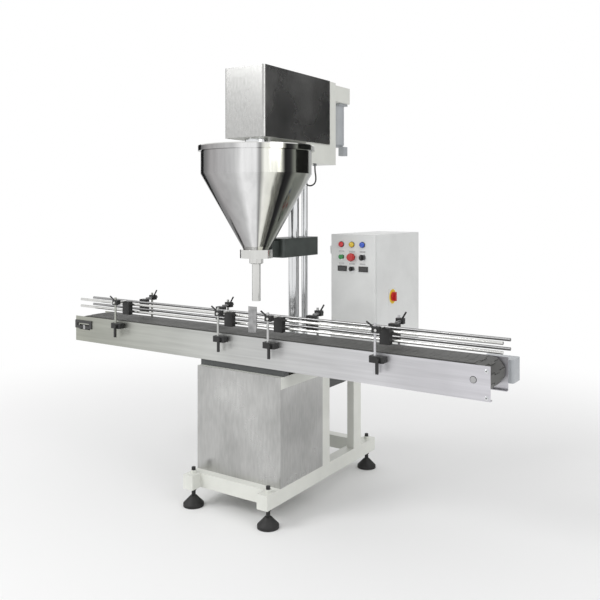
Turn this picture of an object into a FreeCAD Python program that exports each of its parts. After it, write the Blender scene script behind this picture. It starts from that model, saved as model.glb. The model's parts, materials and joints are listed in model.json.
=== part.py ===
"""Auger powder filler on a slat chain conveyor.

Frame: X along the conveyor towards its discharge end, Y to the rear of the machine, Z up.
The origin is on the floor, in the middle of the machine's box. All sizes are in millimetres.
The filling head slides on two pillars. It carries the hopper, the auger, the agitator and their drive.
"""

import FreeCAD, Part
import math
import os
import re
import sys

import Sketcher

SIZES = {
    # Conveyor
    "conveyor_length": 2440, "conveyor_top": 850, "plate_height": 140, "plate_wall": 3, "plate_flange": 22,
    "conveyor_width": 220, "lane_y": -263, "tie_radius": 8, "tie_pitch": 345, "shaft_height": 790,
    "shaft_inset": 70, "shaft_radius": 12.5, "slat_width": 190.5, "slat_pitch": 38.1, "slat_thickness": 4,
    "slat_gap": 1.4, "slat_rise": 3, "tongue_width": 60, "tongue_length": 9, "knuckle_height": 9,
    "knuckle_width": 42, "knuckle_length": 30, "hinge_pin_length": 10, "hinge_pin_height": 6,
    "sprocket_face": 24, "sprocket_spread": 96, "tooth_height": 7, "wear_strip_width": 20,
    "wear_strip_height": 10, "bearing_side": 62, "bearing_depth": 18, "take_up_length": 134,
    "take_up_height": 45, "take_up_depth": 6, "slot_length": 96, "slot_height": 14, "gearbox_length": 140,
    "gearbox_depth": 92, "gearbox_height": 98, "drive_motor_radius": 46, "drive_motor_length": 190,
    "fin_inset": 30, "fin_pitch": 24, "fin_wall": 8, "running_gap": 0.1, "clear_gap": 0.4,
    # Guides
    "rail_length": 2500, "rail_radius": 7, "rail_low": 897, "rail_high": 935, "lane_width": 78,
    "post_radius": 6, "post_bottom": 762, "post_top": 980, "post_offset": 25, "foot_clamp_width": 70,
    "foot_clamp_height": 28, "foot_clamp_top": 841, "foot_clamp_depth": 39, "cross_clamp_side": 26,
    "cross_clamp_height": 954, "arm_shift": 14, "rail_block_width": 48, "rail_block_depth": 29,
    "rail_block_margin": 10, "lever_shift": 22, "lever_length": 58, "lever_width": 12, "lever_hub": 9,
    "lever_depth": 14, "top_lever_length": 38, "top_lever_radius": 4, "arm_stub": 12,
    "front_bracket_1": -867, "front_bracket_2": -143, "front_bracket_3": 160, "front_bracket_4": 724,
    "rear_bracket_1": -860, "rear_bracket_2": -300, "rear_bracket_3": 265, "rear_bracket_4": 705,
    "sensor_plate_width": 50, "sensor_plate_height": 128, "sensor_plate_wall": 4, "sensor_plate_shift": 18,
    # Base
    "base_x": -32, "base_width": 510, "skid_width": 60, "skid_height": 70, "skid_bottom": 92,
    "skid_front": -490, "skid_rear": 547, "foot_front": -445, "foot_rear": 500, "foot_spread": 455,
    "pad_radius": 51, "pad_height": 14, "cone_height": 50, "stem_radius": 10, "stem_top": 190,
    "foot_nut_radius": 16, "foot_nut_height": 14, "stem_hole_gap": 0.5, "frame_top": 678,
    "rail_tube_height": 55, "rail_tube_width": 40, "post_width": 40, "front_post_y": -15,
    "front_post_depth": 68, "rear_post_y": 304, "rear_post_depth": 80, "cabinet_front": -383,
    "cabinet_wall": 2, "cabinet_top": 623, "panel_wall": 2, "panel_return": 18, "beam_bottom": 509,
    "beam_top": 618, "beam_front": 7, "beam_rear": 327, "beam_step": 18, "saddle_depth": 40,
    "saddle_inset": 15,
    # Pillars
    "axis_x": -9, "pillar_y": 68, "pillar_radius": 28, "guide_pillar_y": 172, "guide_pillar_radius": 17,
    "pillar_top": 1870, "pillar_foot_radius": 46, "pillar_foot_height": 16,
    # Head
    "cover_width": 243, "cover_front": -365, "cover_rear": 249, "cover_bottom": 1812, "cover_top": 2157,
    "cover_wall": 2, "cover_corner": 14, "block_width": 228, "block_front": 16, "hopper_relief": 3,
    "block_bottom": 1704, "deck_thickness": 12, "back_plate_depth": 63, "back_plate_wall": 6,
    "housing_width": 148, "housing_depth": 230, "housing_height": 90, "housing_wall": 3, "motor_y": 495,
    "motor_radius": 52, "motor_length": 249, "motor_flange": 116, "motor_flange_thickness": 12,
    "motor_cap_radius": 42, "motor_cap_height": 14, "connector_x": 44, "connector_width": 34,
    "connector_depth": 44, "connector_height": 52, "motor_shaft_radius": 9, "pulley_radius": 30,
    "pulley_bottom": 2090, "pulley_height": 24, "pulley_flange": 3.5, "pulley_flange_wall": 1.5,
    "belt_thickness": 3, "belt_gap": 0.2, "arm_bottom": 1215, "arm_top": 1312, "arm_width": 128,
    "arm_front": -119, "arm_rear": 217, "neck_width": 70, "neck_top": 1300, "neck_bottom": 1222,
    "arm_slot": 5, "arm_pocket": 30, "arm_wall": 16,
    # Hopper
    "hopper_radius": 275, "hopper_wall": 2, "cone_bottom": 1264, "cone_top": 1636, "outlet_radius": 64.5,
    "rim_top": 1770, "rim_radius": 288, "rim_height": 25, "lid_thickness": 4, "hatch_x": -150,
    "hatch_gap": 1, "hatch_rise": 10, "barrel_radius": 5, "barrel_length": 30, "barrel_spread": 240,
    "hinge_pin_radius": 2.5, "hatch_knob_radius": 11, "hatch_knob_height": 20, "spindle_radius": 62,
    "spindle_bore": 14.4, "collar_radius": 82, "collar_bottom": 1222, "collar_mouth": 60,
    "collar_throat": 1240, "tube_radius": 21.5, "tube_bore": 20, "tube_bottom": 1009,
    "tube_neck_radius": 22.5, "tube_flange_radius": 29, "tube_flange_height": 6, "nut_radius": 35,
    "nut_bottom": 1193, "nut_scallops": 8, "sensor_x": 40, "sensor_height": 1652, "sensor_radius": 14,
    "sensor_length": 34, "cable_radius": 4, "gland_x": 88, "gland_y": 125, "gland_radius": 9, "gland_height": 12,
    # Auger
    "auger_shaft_radius": 8, "auger_core_radius": 6.5, "flight_radius": 19.5, "flight_pitch": 34,
    "flight_thickness": 2.2, "flight_top": 1264, "auger_bottom": 1013, "agitator_tube_radius": 14,
    "agitator_tube_bore": 8.4, "agitator_tube_bottom": 1610, "gearbox_radius": 58,
    "head_gearbox_height": 76, "blade_wall": 8, "blade_width": 22, "blade_clearance": 16, "blade_top": 1640,
    "blade_bottom": 1306,
    # Control box
    "box_left": 250, "box_width": 249, "box_front": 25, "box_depth": 513, "box_bottom": 745,
    "box_top": 1336, "box_wall": 2, "door_depth": 18, "door_gap": 2, "door_hinge_x": 243,
    "door_hinge_y": 41, "door_barrel_radius": 6, "door_barrel_length": 40, "door_pin_radius": 3,
    "arm_tube": 40, "riser_x": 330, "bracket_front_y": 80, "bracket_rear_y": 310, "column_1": 311,
    "column_2": 371, "column_3": 431, "lamp_height": 1286, "button_height": 1223, "display_height": 1165,
    "lamp_radius": 13, "lamp_depth": 14, "button_radius": 12, "button_depth": 12, "stop_radius": 21,
    "stop_depth": 26, "knob_radius": 15, "knob_depth": 20, "display_width": 52, "display_tall": 27,
    "bezel_depth": 4, "isolator_y": 212, "isolator_height": 1017, "isolator_plate": 80,
    "isolator_plate_wall": 4, "isolator_radius": 24, "isolator_depth": 20, "stem_bore": 6.5, "stem_size": 6,
    "stem_reach": 14,
}

SPROCKET_TEETH = 10
FLIGHT_STEPS = 16
MOTOR_FINS = 6

doc = FreeCAD.newDocument("auger_powder_filler")


def make_sheet():
    """Write the driving dimensions, one aliased cell each."""
    sheet = doc.addObject("Spreadsheet::Sheet", "Sizes")
    for row, (name, value) in enumerate(SIZES.items(), 1):
        sheet.set(f"A{row}", name)
        sheet.set(f"B{row}", str(value))
        sheet.setAlias(f"B{row}", name)
    doc.recompute()
    return sheet


sizes = make_sheet()


def size(name):
    """The present value of one cell."""
    return float(sizes.get(name))


def formula(text):
    """An expression in which each size's name is read from the sheet."""
    def cell(match):
        word = match.group(0)
        return f"Sizes.{word}" if word in SIZES else word
    return re.sub(r"[A-Za-z_]\w*", cell, str(text))


def bind(feature, **properties):
    for name, text in properties.items():
        feature.setExpression(name, formula(text))


def place(feature, corner):
    for letter, text in zip("xyz", corner):
        feature.setExpression(f"Placement.Base.{letter}", formula(text))


# Solids


def box(name, corner, spans):
    solid = doc.addObject("Part::Box", name)
    bind(solid, Length=spans[0], Width=spans[1], Height=spans[2])
    place(solid, corner)
    return solid


def turn_to(axis):
    """The rotation that takes +Z to the named axis."""
    turns = {"X": (0, 1, 0, 90), "Y": (1, 0, 0, -90), "Z": (0, 0, 1, 0)}
    x, y, z, angle = turns[axis]
    return FreeCAD.Rotation(FreeCAD.Vector(x, y, z), angle)


def rod(name, base, radius, length, along="Z"):
    solid = doc.addObject("Part::Cylinder", name)
    solid.Placement = FreeCAD.Placement(FreeCAD.Vector(), turn_to(along))
    bind(solid, Radius=radius, Height=length)
    place(solid, base)
    return solid


def cone(name, base, low_radius, high_radius, length, along="Z"):
    solid = doc.addObject("Part::Cone", name)
    solid.Placement = FreeCAD.Placement(FreeCAD.Vector(), turn_to(along))
    bind(solid, Radius1=low_radius, Radius2=high_radius, Height=length)
    place(solid, base)
    return solid


def fuse(name, *pieces):
    joined = doc.addObject("Part::MultiFuse", name)
    joined.Shapes = list(pieces)
    return joined


def cut(name, base, *tools):
    result = doc.addObject("Part::Cut", name)
    result.Base = base
    result.Tool = tools[0] if len(tools) == 1 else fuse(f"{name}_tools", *tools)
    return result


def group(name, *pieces):
    """Several separate solids in one node."""
    together = doc.addObject("Part::Compound", name)
    together.Links = list(pieces)
    return together


def origin_plane(body, role):
    return next(item for item in body.Origin.OriginFeatures if item.Role == role)


def outline(body, name, plane, points):
    """A closed sketch whose corners are placed from the origin by bound distances."""
    sketch = body.newObject("Sketcher::SketchObject", name)
    sketch.AttachmentSupport = [(origin_plane(body, plane), "")]
    sketch.MapMode = "FlatFace"
    count = len(points)
    ring = [FreeCAD.Vector(math.cos(2 * math.pi * k / count), math.sin(2 * math.pi * k / count), 0)
            for k in range(count)]
    for k in range(count):
        sketch.addGeometry(Part.LineSegment(ring[k], ring[(k + 1) % count]), False)
    for k in range(count):
        sketch.addConstraint(Sketcher.Constraint("Coincident", k, 2, (k + 1) % count, 1))
    for k, (across, up) in enumerate(points):
        for kind, text, start in (("DistanceX", across, ring[k].x), ("DistanceY", up, ring[k].y)):
            pin = sketch.addConstraint(Sketcher.Constraint(kind, -1, 1, k, 1, start))
            sketch.setExpression(f"Constraints[{pin}]", formula(text))
    return sketch


def new_body(name):
    return doc.addObject("PartDesign::Body", name)


def padded(name, plane, points, length, corner=("0", "0", "0")):
    """A prism of an outline. It grows along +X, +Y or +Z from its corner."""
    body = new_body(name)
    sketch = outline(body, f"{name}_outline", plane, points)
    pad = body.newObject("PartDesign::Pad", f"{name}_pad")
    pad.Profile = sketch
    pad.Reversed = plane == "XZ_Plane"
    bind(pad, Length=length)
    place(body, corner)
    body.Tip = pad
    return body


def rounded_box(name, corner, spans, radius):
    """A box with its four upright edges rounded."""
    dx, dy, dz = spans
    body = padded(name, "XY_Plane", [("0", "0"), (dx, "0"), (dx, dy), ("0", dy)], dz, corner)
    doc.recompute()
    pad = body.Tip
    upright = [f"Edge{k}" for k, edge in enumerate(pad.Shape.Edges, 1)
               if abs(edge.tangentAt(edge.FirstParameter).z) > 0.9]
    fillet = body.newObject("PartDesign::Fillet", f"{name}_fillet")
    fillet.Base = (pad, upright)
    bind(fillet, Radius=radius)
    body.Tip = fillet
    return body


def turned(name, points, base):
    """A solid of revolution about Z. Points are (radius, height above the base)."""
    body = new_body(name)
    sketch = outline(body, f"{name}_outline", "XZ_Plane", points)
    turn = body.newObject("PartDesign::Revolution", f"{name}_turn")
    turn.Profile = sketch
    turn.ReferenceAxis = (sketch, ["V_Axis"])
    turn.Angle = 360
    place(body, base)
    body.Tip = turn
    return body


def washer(name, base, outer, inner, length, along="Z"):
    """A ring, or a straight tube."""
    return cut(
        name,
        rod(f"{name}_outer", base, outer, length, along),
        rod(f"{name}_inner", base, inner, length, along),
    )


# Places worked out from the sizes

PLATE_BOTTOM = "(conveyor_top - plate_height)"
PLATE_FRONT = "(lane_y - conveyor_width / 2)"
PLATE_REAR = "(lane_y + conveyor_width / 2)"
SLAT_TOP = "(conveyor_top + slat_rise)"
SHAFT_X = "(conveyor_length / 2 - shaft_inset)"
BASE_LEFT = "(base_x - base_width / 2)"
BASE_RIGHT = "(base_x + base_width / 2)"
SKID_TOP = "(skid_bottom + skid_height)"
FRONT_POST_LINE = f"({PLATE_FRONT} - post_offset)"
REAR_POST_LINE = f"({PLATE_REAR} + post_offset)"
FRONT_RAIL_LINE = "(lane_y - lane_width / 2 - rail_radius)"
REAR_RAIL_LINE = "(lane_y + lane_width / 2 + rail_radius)"
BLOCK_BOTTOM = "(rail_low - rail_radius - rail_block_margin)"
BLOCK_HEIGHT = "(rail_high - rail_low + 2 * rail_radius + 2 * rail_block_margin)"
FRONT_BRACKETS = [f"front_bracket_{k}" for k in (1, 2, 3, 4)]
REAR_BRACKETS = [f"rear_bracket_{k}" for k in (1, 2, 3, 4)]
LID_TOP = "(rim_top + lid_thickness)"
CONE_SLOPE = "((hopper_radius - outlet_radius) / (cone_top - cone_bottom))"
DOOR_BACK = "(box_front + door_depth)"


# Base


def base_frame():
    """The welded frame: two skids, three cross tubes, four posts and four top tubes."""
    pieces = []
    right_skid = f"{BASE_RIGHT} - skid_width"
    for side, x in (("left", BASE_LEFT), ("right", right_skid)):
        bar = box(f"skid_{side}_bar", (x, "skid_front", "skid_bottom"),
                  ("skid_width", "skid_rear - skid_front", "skid_height"))
        holes = [rod(f"skid_{side}_hole_{end}", (f"{x} + skid_width / 2 + {shift}", y, "skid_bottom"),
                     "stem_radius + stem_hole_gap", "skid_height")
                 for end, y, shift in (("front", "foot_front", foot_shift(side)),
                                       ("rear", "foot_rear", foot_shift(side)))]
        pieces.append(cut(f"skid_{side}", bar, *holes))
        for end, y in (("front", "foot_front"), ("rear", "foot_rear")):
            pieces.append(lock_nut(f"{side}_{end}", f"{x} + skid_width / 2 + {foot_shift(side)}", y))
    span = "base_width - 2 * skid_width"
    inner_left = f"{BASE_LEFT} + skid_width"
    for k, y in enumerate(("skid_front + 60", "front_post_y", "skid_rear - 100")):
        pieces.append(box(f"cross_tube_{k}", (inner_left, y, "skid_bottom"),
                          (span, "skid_width", "skid_height")))
    for side, x in (("left", BASE_LEFT), ("right", f"{BASE_RIGHT} - post_width")):
        for end, y, depth in (("front", "front_post_y", "front_post_depth"),
                              ("rear", "rear_post_y", "rear_post_depth")):
            pieces.append(box(f"post_{side}_{end}", (x, y, SKID_TOP),
                              ("post_width", depth, f"frame_top - rail_tube_height - {SKID_TOP}")))
        pieces.append(box(f"top_tube_{side}", (x, "cabinet_front", "frame_top - rail_tube_height"),
                          ("rail_tube_width", "rear_post_y + rear_post_depth - cabinet_front",
                           "rail_tube_height")))
    for k, y in enumerate(("cabinet_front", "rear_post_y + rear_post_depth - rail_tube_width")):
        pieces.append(box(f"top_cross_{k}",
                          (f"{BASE_LEFT} + rail_tube_width", y, "frame_top - rail_tube_height"),
                          ("base_width - 2 * rail_tube_width", "rail_tube_width", "rail_tube_height")))
    return group("base_frame", *pieces)


def lock_nut(name, x, y):
    """The nut that locks a foot's stem, on top of the skid."""
    nut = doc.addObject("Part::Prism", f"lock_nut_{name}_blank")
    nut.Polygon = 6
    bind(nut, Circumradius="foot_nut_radius", Height="foot_nut_height")
    place(nut, (x, y, SKID_TOP))
    bore = rod(f"lock_nut_{name}_bore", (x, y, f"{SKID_TOP} - 1"), "stem_radius + stem_hole_gap",
               "foot_nut_height + 2")
    return cut(f"lock_nut_{name}", nut, bore)


def foot_shift(side):
    """How far a foot's stem stands from its skid's middle."""
    inward = "(base_width - skid_width - foot_spread) / 2"
    return inward if side == "left" else f"(-{inward})"


def foot(name, x, y):
    """A levelling foot: a round pad with a coned top, and a stem with its height nut."""
    profile = [
        ("0", "0"), ("pad_radius", "0"), ("pad_radius", "pad_height"),
        ("stem_radius * 1.6", "cone_height"), ("stem_radius", "cone_height"),
        ("stem_radius", "stem_top"), ("0", "stem_top"),
    ]
    base = turned(f"{name}_pad", profile, (x, y, "0"))
    nut = doc.addObject("Part::Prism", f"{name}_nut")
    nut.Polygon = 6
    bind(nut, Circumradius="foot_nut_radius", Height="foot_nut_height")
    place(nut, (x, y, "skid_bottom - foot_nut_height"))
    return fuse(name, base, nut)


def pillar_beam():
    """The machined beam between the posts that the pillars stand on, stepped under its ends."""
    low, high = "0", "beam_top - beam_bottom"
    span = "(base_width - 2 * post_width)"
    profile = [
        ("0", "beam_step"), ("beam_step", "beam_step"), ("beam_step * 2", low),
        (f"{span} - beam_step * 2", low), (f"{span} - beam_step", "beam_step"), (span, "beam_step"),
        (span, high), ("0", high),
    ]
    return padded("pillar_beam", "XZ_Plane", profile, "beam_rear - beam_front",
                  (f"{BASE_LEFT} + post_width", "beam_front", "beam_bottom"))


def pillars():
    """The chromed main pillar and the thinner guide pillar behind it, each with a foot flange."""
    made = []
    for name, y, radius in (("main", "pillar_y", "pillar_radius"),
                            ("guide", "guide_pillar_y", "guide_pillar_radius")):
        foot_radius = "pillar_foot_radius" if name == "main" else "pillar_foot_radius - 14"
        profile = [
            ("0", "0"), (foot_radius, "0"), (foot_radius, "pillar_foot_height"),
            (radius, "pillar_foot_height"), (radius, "pillar_top - beam_top"),
            ("0", "pillar_top - beam_top"),
        ]
        made.append(turned(f"pillar_{name}", profile, ("axis_x", y, "beam_top")))
    return group("pillars", *made)


def cabinet_shell():
    """The folded stainless cabinet, open at its front, between the skids and the top tubes."""
    depth = "front_post_y - cabinet_front"
    outer = box("cabinet_outer", (BASE_LEFT, "cabinet_front", SKID_TOP),
                ("base_width", depth, f"cabinet_top - {SKID_TOP}"))
    inner = box("cabinet_inner",
                (f"{BASE_LEFT} + cabinet_wall", "cabinet_front - cabinet_wall", f"{SKID_TOP} + cabinet_wall"),
                ("base_width - 2 * cabinet_wall", depth, f"cabinet_top - {SKID_TOP} - 2 * cabinet_wall"))
    return cut("cabinet_shell", outer, inner)


def cabinet_front_panel():
    """The front panel: a flat face with its edges turned back behind it."""
    face = box("panel_face", (BASE_LEFT, "cabinet_front - panel_wall", SKID_TOP),
               ("base_width", "panel_wall", f"frame_top - {SKID_TOP}"))
    rim = []
    for name, x in (("left", f"{BASE_LEFT} + cabinet_wall + clear_gap"),
                    ("right", f"{BASE_RIGHT} - cabinet_wall - clear_gap - panel_wall")):
        rim.append(box(f"panel_return_{name}", (x, "cabinet_front", f"{SKID_TOP} + 2 * cabinet_wall"),
                       ("panel_wall", "panel_return", f"cabinet_top - {SKID_TOP} - 4 * cabinet_wall")))
    return fuse("cabinet_front_panel", face, *rim)


def conveyor_saddles():
    """Two cross bars that carry the conveyor on the frame's top tubes."""
    bars = []
    for name, y in (("front", f"{PLATE_FRONT} + saddle_inset"),
                    ("rear", f"{PLATE_REAR} - saddle_inset - saddle_depth")):
        bars.append(box(f"saddle_{name}", (BASE_LEFT, y, "frame_top"),
                        ("base_width", "saddle_depth", f"{PLATE_BOTTOM} - frame_top")))
    return group("conveyor_saddles", *bars)


# Conveyor


def conveyor_side_plates():
    """Two folded plates with flanges turned inwards along their bottom edges."""
    wall, flange = "plate_wall", "plate_flange"
    front = [("0", "0"), (flange, "0"), (flange, wall), (wall, wall), (wall, "plate_height"),
             ("0", "plate_height")]
    rear = [(f"conveyor_width - {across}", up) for across, up in front]
    made = []
    for name, points in (("front", front), ("rear", rear)):
        blank = padded(f"plate_{name}_blank", "YZ_Plane", points, "conveyor_length",
                       ("-conveyor_length / 2", PLATE_FRONT, PLATE_BOTTOM))
        made.append(cut(f"plate_{name}", blank, *plate_holes(name)))
    return group("conveyor_side_plates", *made)


def plate_holes(name):
    """The shaft hole at the drive end and the take-up slot at the tail end of one side plate."""
    y = f"{PLATE_FRONT} - 1" if name == "front" else f"{PLATE_REAR} - plate_wall - 1"
    through = "plate_wall + 2"
    hole = rod(f"plate_{name}_shaft_hole", (SHAFT_X, y, "shaft_height"),
               "shaft_radius + 2", through, "Y")
    slot = box(f"plate_{name}_slot",
               (f"-{SHAFT_X} - slot_length / 2", y, "shaft_height - shaft_radius - 2"),
               ("slot_length", through, "2 * shaft_radius + 4"))
    return hole, slot


def conveyor_cross_ties():
    """Round ties between the side plates, and a flat bed bar across the top of each."""
    made = []
    inner = "conveyor_width - 2 * plate_wall"
    y = f"{PLATE_FRONT} + plate_wall"
    for k in range(-3, 4):
        x = f"{k} * tie_pitch"
        made.append(rod(f"tie_{k + 3}", (x, y, "shaft_height + 12"), "tie_radius", inner, "Y"))
        made.append(box(f"bed_bar_{k + 3}", (f"{x} - 15", y, f"{STRIP_BOTTOM} - 6"), ("30", inner, "6")))
    return group("conveyor_cross_ties", *made)


STRIP_TOP = f"({SLAT_TOP} - slat_thickness)"
STRIP_BOTTOM = f"({STRIP_TOP} - wear_strip_height)"
RETURN_TOP = f"(2 * shaft_height - {SLAT_TOP})"


def wear_strips():
    """Two plastic strips that the top run slides on and two that carry the return run."""
    made = []
    length = f"2 * {SHAFT_X} - 120"
    for k, y in enumerate(("lane_y - knuckle_width - wear_strip_width", "lane_y + knuckle_width")):
        made.append(box(f"top_strip_{k}", (f"-({length}) / 2", y, STRIP_BOTTOM),
                        (length, "wear_strip_width", "wear_strip_height")))
    for k, y in enumerate((f"{PLATE_FRONT} + plate_wall", f"{PLATE_REAR} - plate_wall - wear_strip_width")):
        made.append(box(f"return_strip_{k}", (f"-({length}) / 2", y, f"{PLATE_BOTTOM} + plate_wall"),
                        (length, "wear_strip_width", f"{RETURN_TOP} - {PLATE_BOTTOM} - plate_wall")))
    return group("wear_strips", *made)


def slat(pitch, width, thickness):
    """One slat seen from above: a plate with a hinge tongue ahead and its notch behind."""
    half = width / 2
    reach = (pitch - size("slat_gap")) / 2
    tongue = size("tongue_width") / 2
    ahead = reach + size("tongue_length")
    notch = -reach + size("tongue_length")
    slack = size("slat_gap")
    points = [
        (reach, -half), (reach, -tongue), (ahead, -tongue), (ahead, tongue), (reach, tongue),
        (reach, half), (-reach, half), (-reach, tongue + slack), (notch, tongue + slack),
        (notch, -tongue - slack), (-reach, -tongue - slack), (-reach, -half),
    ]
    ring = [FreeCAD.Vector(x, y, -thickness) for x, y in points]
    plate = Part.Face(Part.makePolygon(ring + ring[:1])).extrude(FreeCAD.Vector(0, 0, thickness))
    depth = size("knuckle_height")
    spread = size("knuckle_width")
    length = size("knuckle_length")
    knuckle = Part.makeBox(length, spread, depth,
                           FreeCAD.Vector(-length / 2, -spread / 2, -thickness - depth))
    return plate.fuse(knuckle)


def hinge_pin(before, after, pitch, thickness):
    """The square pin that joins two neighbouring slats' knuckles."""
    depth = thickness + size("knuckle_height") / 2
    ahead = before.multVec(FreeCAD.Vector(pitch / 2, 0, -depth))
    behind = after.multVec(FreeCAD.Vector(-pitch / 2, 0, -depth))
    long, spread, high = size("hinge_pin_length"), size("knuckle_width"), size("hinge_pin_height")
    pin = Part.makeBox(long, spread, high, FreeCAD.Vector(-long / 2, -spread / 2, -high / 2))
    pin.Placement = FreeCAD.Placement((ahead + behind) / 2, before.Rotation.slerp(after.Rotation, 0.5))
    return pin


def slat_chain():
    """The endless chain: hinged slats along the top, round both ends and back underneath."""
    thickness = size("slat_thickness")
    straight = size("conveyor_length") - 2 * size("shaft_inset")
    radius = size("conveyor_top") + size("slat_rise") - thickness - size("shaft_height")
    count = int(2 * (straight + math.pi * radius) / size("slat_pitch"))
    step = 2 * (straight + math.pi * radius) / count
    middle = FreeCAD.Vector(0, size("lane_y"), size("shaft_height"))
    joints = [middle + loop_point(k * step, straight, radius) for k in range(count)]
    places = [slat_place(joints[k], joints[(k + 1) % count], thickness) for k in range(count)]
    pins = [hinge_pin(places[k], places[(k + 1) % count], step, thickness) for k in range(count)]
    link = slat(step, size("slat_width"), thickness)
    links = []
    for k, spot in enumerate(places):
        copy = link.copy()
        copy.Placement = spot
        links.append(copy.cut([pins[k], pins[k - 1]]))
    chain = doc.addObject("Part::Feature", "slat_chain")
    chain.Shape = Part.makeCompound(links + pins)
    return chain


def loop_point(along, straight, radius):
    """The point at a distance along the chain's loop, which starts at the top run's middle."""
    bend = math.pi * radius
    along = (along + straight / 2) % (2 * (straight + bend))
    if along < straight:
        return FreeCAD.Vector(along - straight / 2, 0, radius)
    if along < straight + bend:
        angle = (along - straight) / radius
        return FreeCAD.Vector(straight / 2 + radius * math.sin(angle), 0, radius * math.cos(angle))
    if along < 2 * straight + bend:
        return FreeCAD.Vector(straight / 2 - (along - straight - bend), 0, -radius)
    angle = (along - 2 * straight - bend) / radius
    return FreeCAD.Vector(-straight / 2 - radius * math.sin(angle), 0, -radius * math.cos(angle))


def slat_place(start, end, thickness):
    """Where a slat's top middle goes, and its turn, so that its underside joins two hinge points."""
    run = end - start
    turn = FreeCAD.Rotation(FreeCAD.Vector(0, 1, 0), math.degrees(math.atan2(-run.z, run.x)))
    lift = turn.multVec(FreeCAD.Vector(0, 0, thickness))
    return FreeCAD.Placement((start + end) / 2 + lift, turn)


def sprocket(face, teeth, radius, tooth):
    """A toothed wheel on the Y axis, as a flat-topped star."""
    ring = []
    for k in range(teeth):
        for part, reach in ((0.0, radius - tooth), (0.3, radius - tooth), (0.45, radius),
                            (0.85, radius)):
            angle = 2 * math.pi * (k + part) / teeth
            ring.append(FreeCAD.Vector(reach * math.cos(angle), -face / 2, reach * math.sin(angle)))
    return Part.Face(Part.makePolygon(ring + ring[:1])).extrude(FreeCAD.Vector(0, face, 0))


def chain_shaft(name, x_sign, front_reach, rear_reach):
    """A shaft across the conveyor with two sprockets on it."""
    x = x_sign * (size("conveyor_length") / 2 - size("shaft_inset"))
    lane, height = size("lane_y"), size("shaft_height")
    radius = size("shaft_radius")
    front = lane - size("conveyor_width") / 2 - front_reach
    rear = lane + size("conveyor_width") / 2 + rear_reach
    shape = Part.makeCylinder(radius, rear - front, FreeCAD.Vector(x, front, height),
                              FreeCAD.Vector(0, 1, 0))
    bend = size("conveyor_top") + size("slat_rise") - size("slat_thickness") - size("shaft_height")
    rim = math.sqrt(bend ** 2 - (size("slat_pitch") / 2) ** 2) - 2 * size("clear_gap")
    for side in (-1, 1):
        wheel = sprocket(size("sprocket_face"), SPROCKET_TEETH, rim, size("tooth_height"))
        wheel.Placement = FreeCAD.Placement(
            FreeCAD.Vector(x, lane + side * size("sprocket_spread") / 2, height), FreeCAD.Rotation())
        shape = shape.fuse(wheel)
    feature = doc.addObject("Part::Feature", name)
    feature.Shape = shape
    return feature


def conveyor_bearings():
    """Four bearing blocks on the inner faces of the side plates."""
    made = []
    for end, x in (("drive", SHAFT_X), ("tail", f"-{SHAFT_X}")):
        for side, y in (("front", f"{PLATE_FRONT} + plate_wall"),
                        ("rear", f"{PLATE_REAR} - plate_wall - bearing_depth")):
            block = box(f"bearing_{end}_{side}_block",
                        (f"{x} - bearing_side / 2", y, "shaft_height - bearing_side / 2"),
                        ("bearing_side", "bearing_depth", "bearing_side"))
            bore = rod(f"bearing_{end}_{side}_bore", (x, y, "shaft_height"),
                       "shaft_radius + running_gap / 2", "bearing_depth", "Y")
            made.append(cut(f"bearing_{end}_{side}", block, bore))
    return group("conveyor_bearings", *made)


def take_up_plates():
    """The tail end's slotted tension plates, one on the outside of each side plate."""
    made = []
    for side, y in (("front", f"{PLATE_FRONT} - take_up_depth"), ("rear", PLATE_REAR)):
        x = "-conveyor_length / 2"
        low = "shaft_height + 15 - take_up_height / 2"
        plate = box(f"take_up_{side}_plate", (x, y, low),
                    ("take_up_length", "take_up_depth", "take_up_height"))
        slot = box(f"take_up_{side}_slot",
                   (f"{x} + (take_up_length - slot_length) / 2", f"{y} - 1",
                    "shaft_height + 15 - slot_height / 2"),
                   ("slot_length", "take_up_depth + 2", "slot_height"))
        bore = rod(f"take_up_{side}_bore", (f"-{SHAFT_X}", f"{y} - 1", "shaft_height"),
                   "shaft_radius + 1", "take_up_depth + 2", "Y")
        made.append(cut(f"take_up_{side}", plate, slot, bore))
    return group("take_up_plates", *made)


def drive_gearmotor():
    """The worm gearbox on the drive shaft's rear end, with its finned motor alongside the conveyor."""
    y = PLATE_REAR
    left = f"{SHAFT_X} - gearbox_length / 2 + 22"
    case = rounded_box("gearbox_case", (left, y, "shaft_height - gearbox_height / 2"),
                       ("gearbox_length", "gearbox_depth", "gearbox_height"), "12")
    bore = rod("gearbox_bore", (SHAFT_X, f"{y} - 1", "shaft_height"),
               "shaft_radius + running_gap / 2", "gearbox_depth - 15", "Y")
    length = "drive_motor_length"
    barrel = rod("drive_motor_barrel", (f"{left} - {length}", f"{y} + 50", "shaft_height"),
                 "drive_motor_radius - 6", length, "X")
    fins = [rod(f"drive_motor_fin_{k}", (f"{left} - {length} + fin_inset + {k} * fin_pitch", f"{y} + 50",
                                         "shaft_height"), "drive_motor_radius", "fin_wall", "X")
            for k in range(MOTOR_FINS)]
    return group("drive_gearmotor", cut("gearbox", case, bore), fuse("drive_motor", barrel, *fins))


# Guides


def guide_posts():
    """The upright rods of the front and rear guide brackets."""
    made = []
    for line, y in ((FRONT_BRACKETS, FRONT_POST_LINE), (REAR_BRACKETS, REAR_POST_LINE)):
        for x in line:
            made.append(rod(f"{x}_post", (x, y, "post_bottom"), "post_radius", "post_top - post_bottom"))
    return group("guide_posts", *made)


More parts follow.
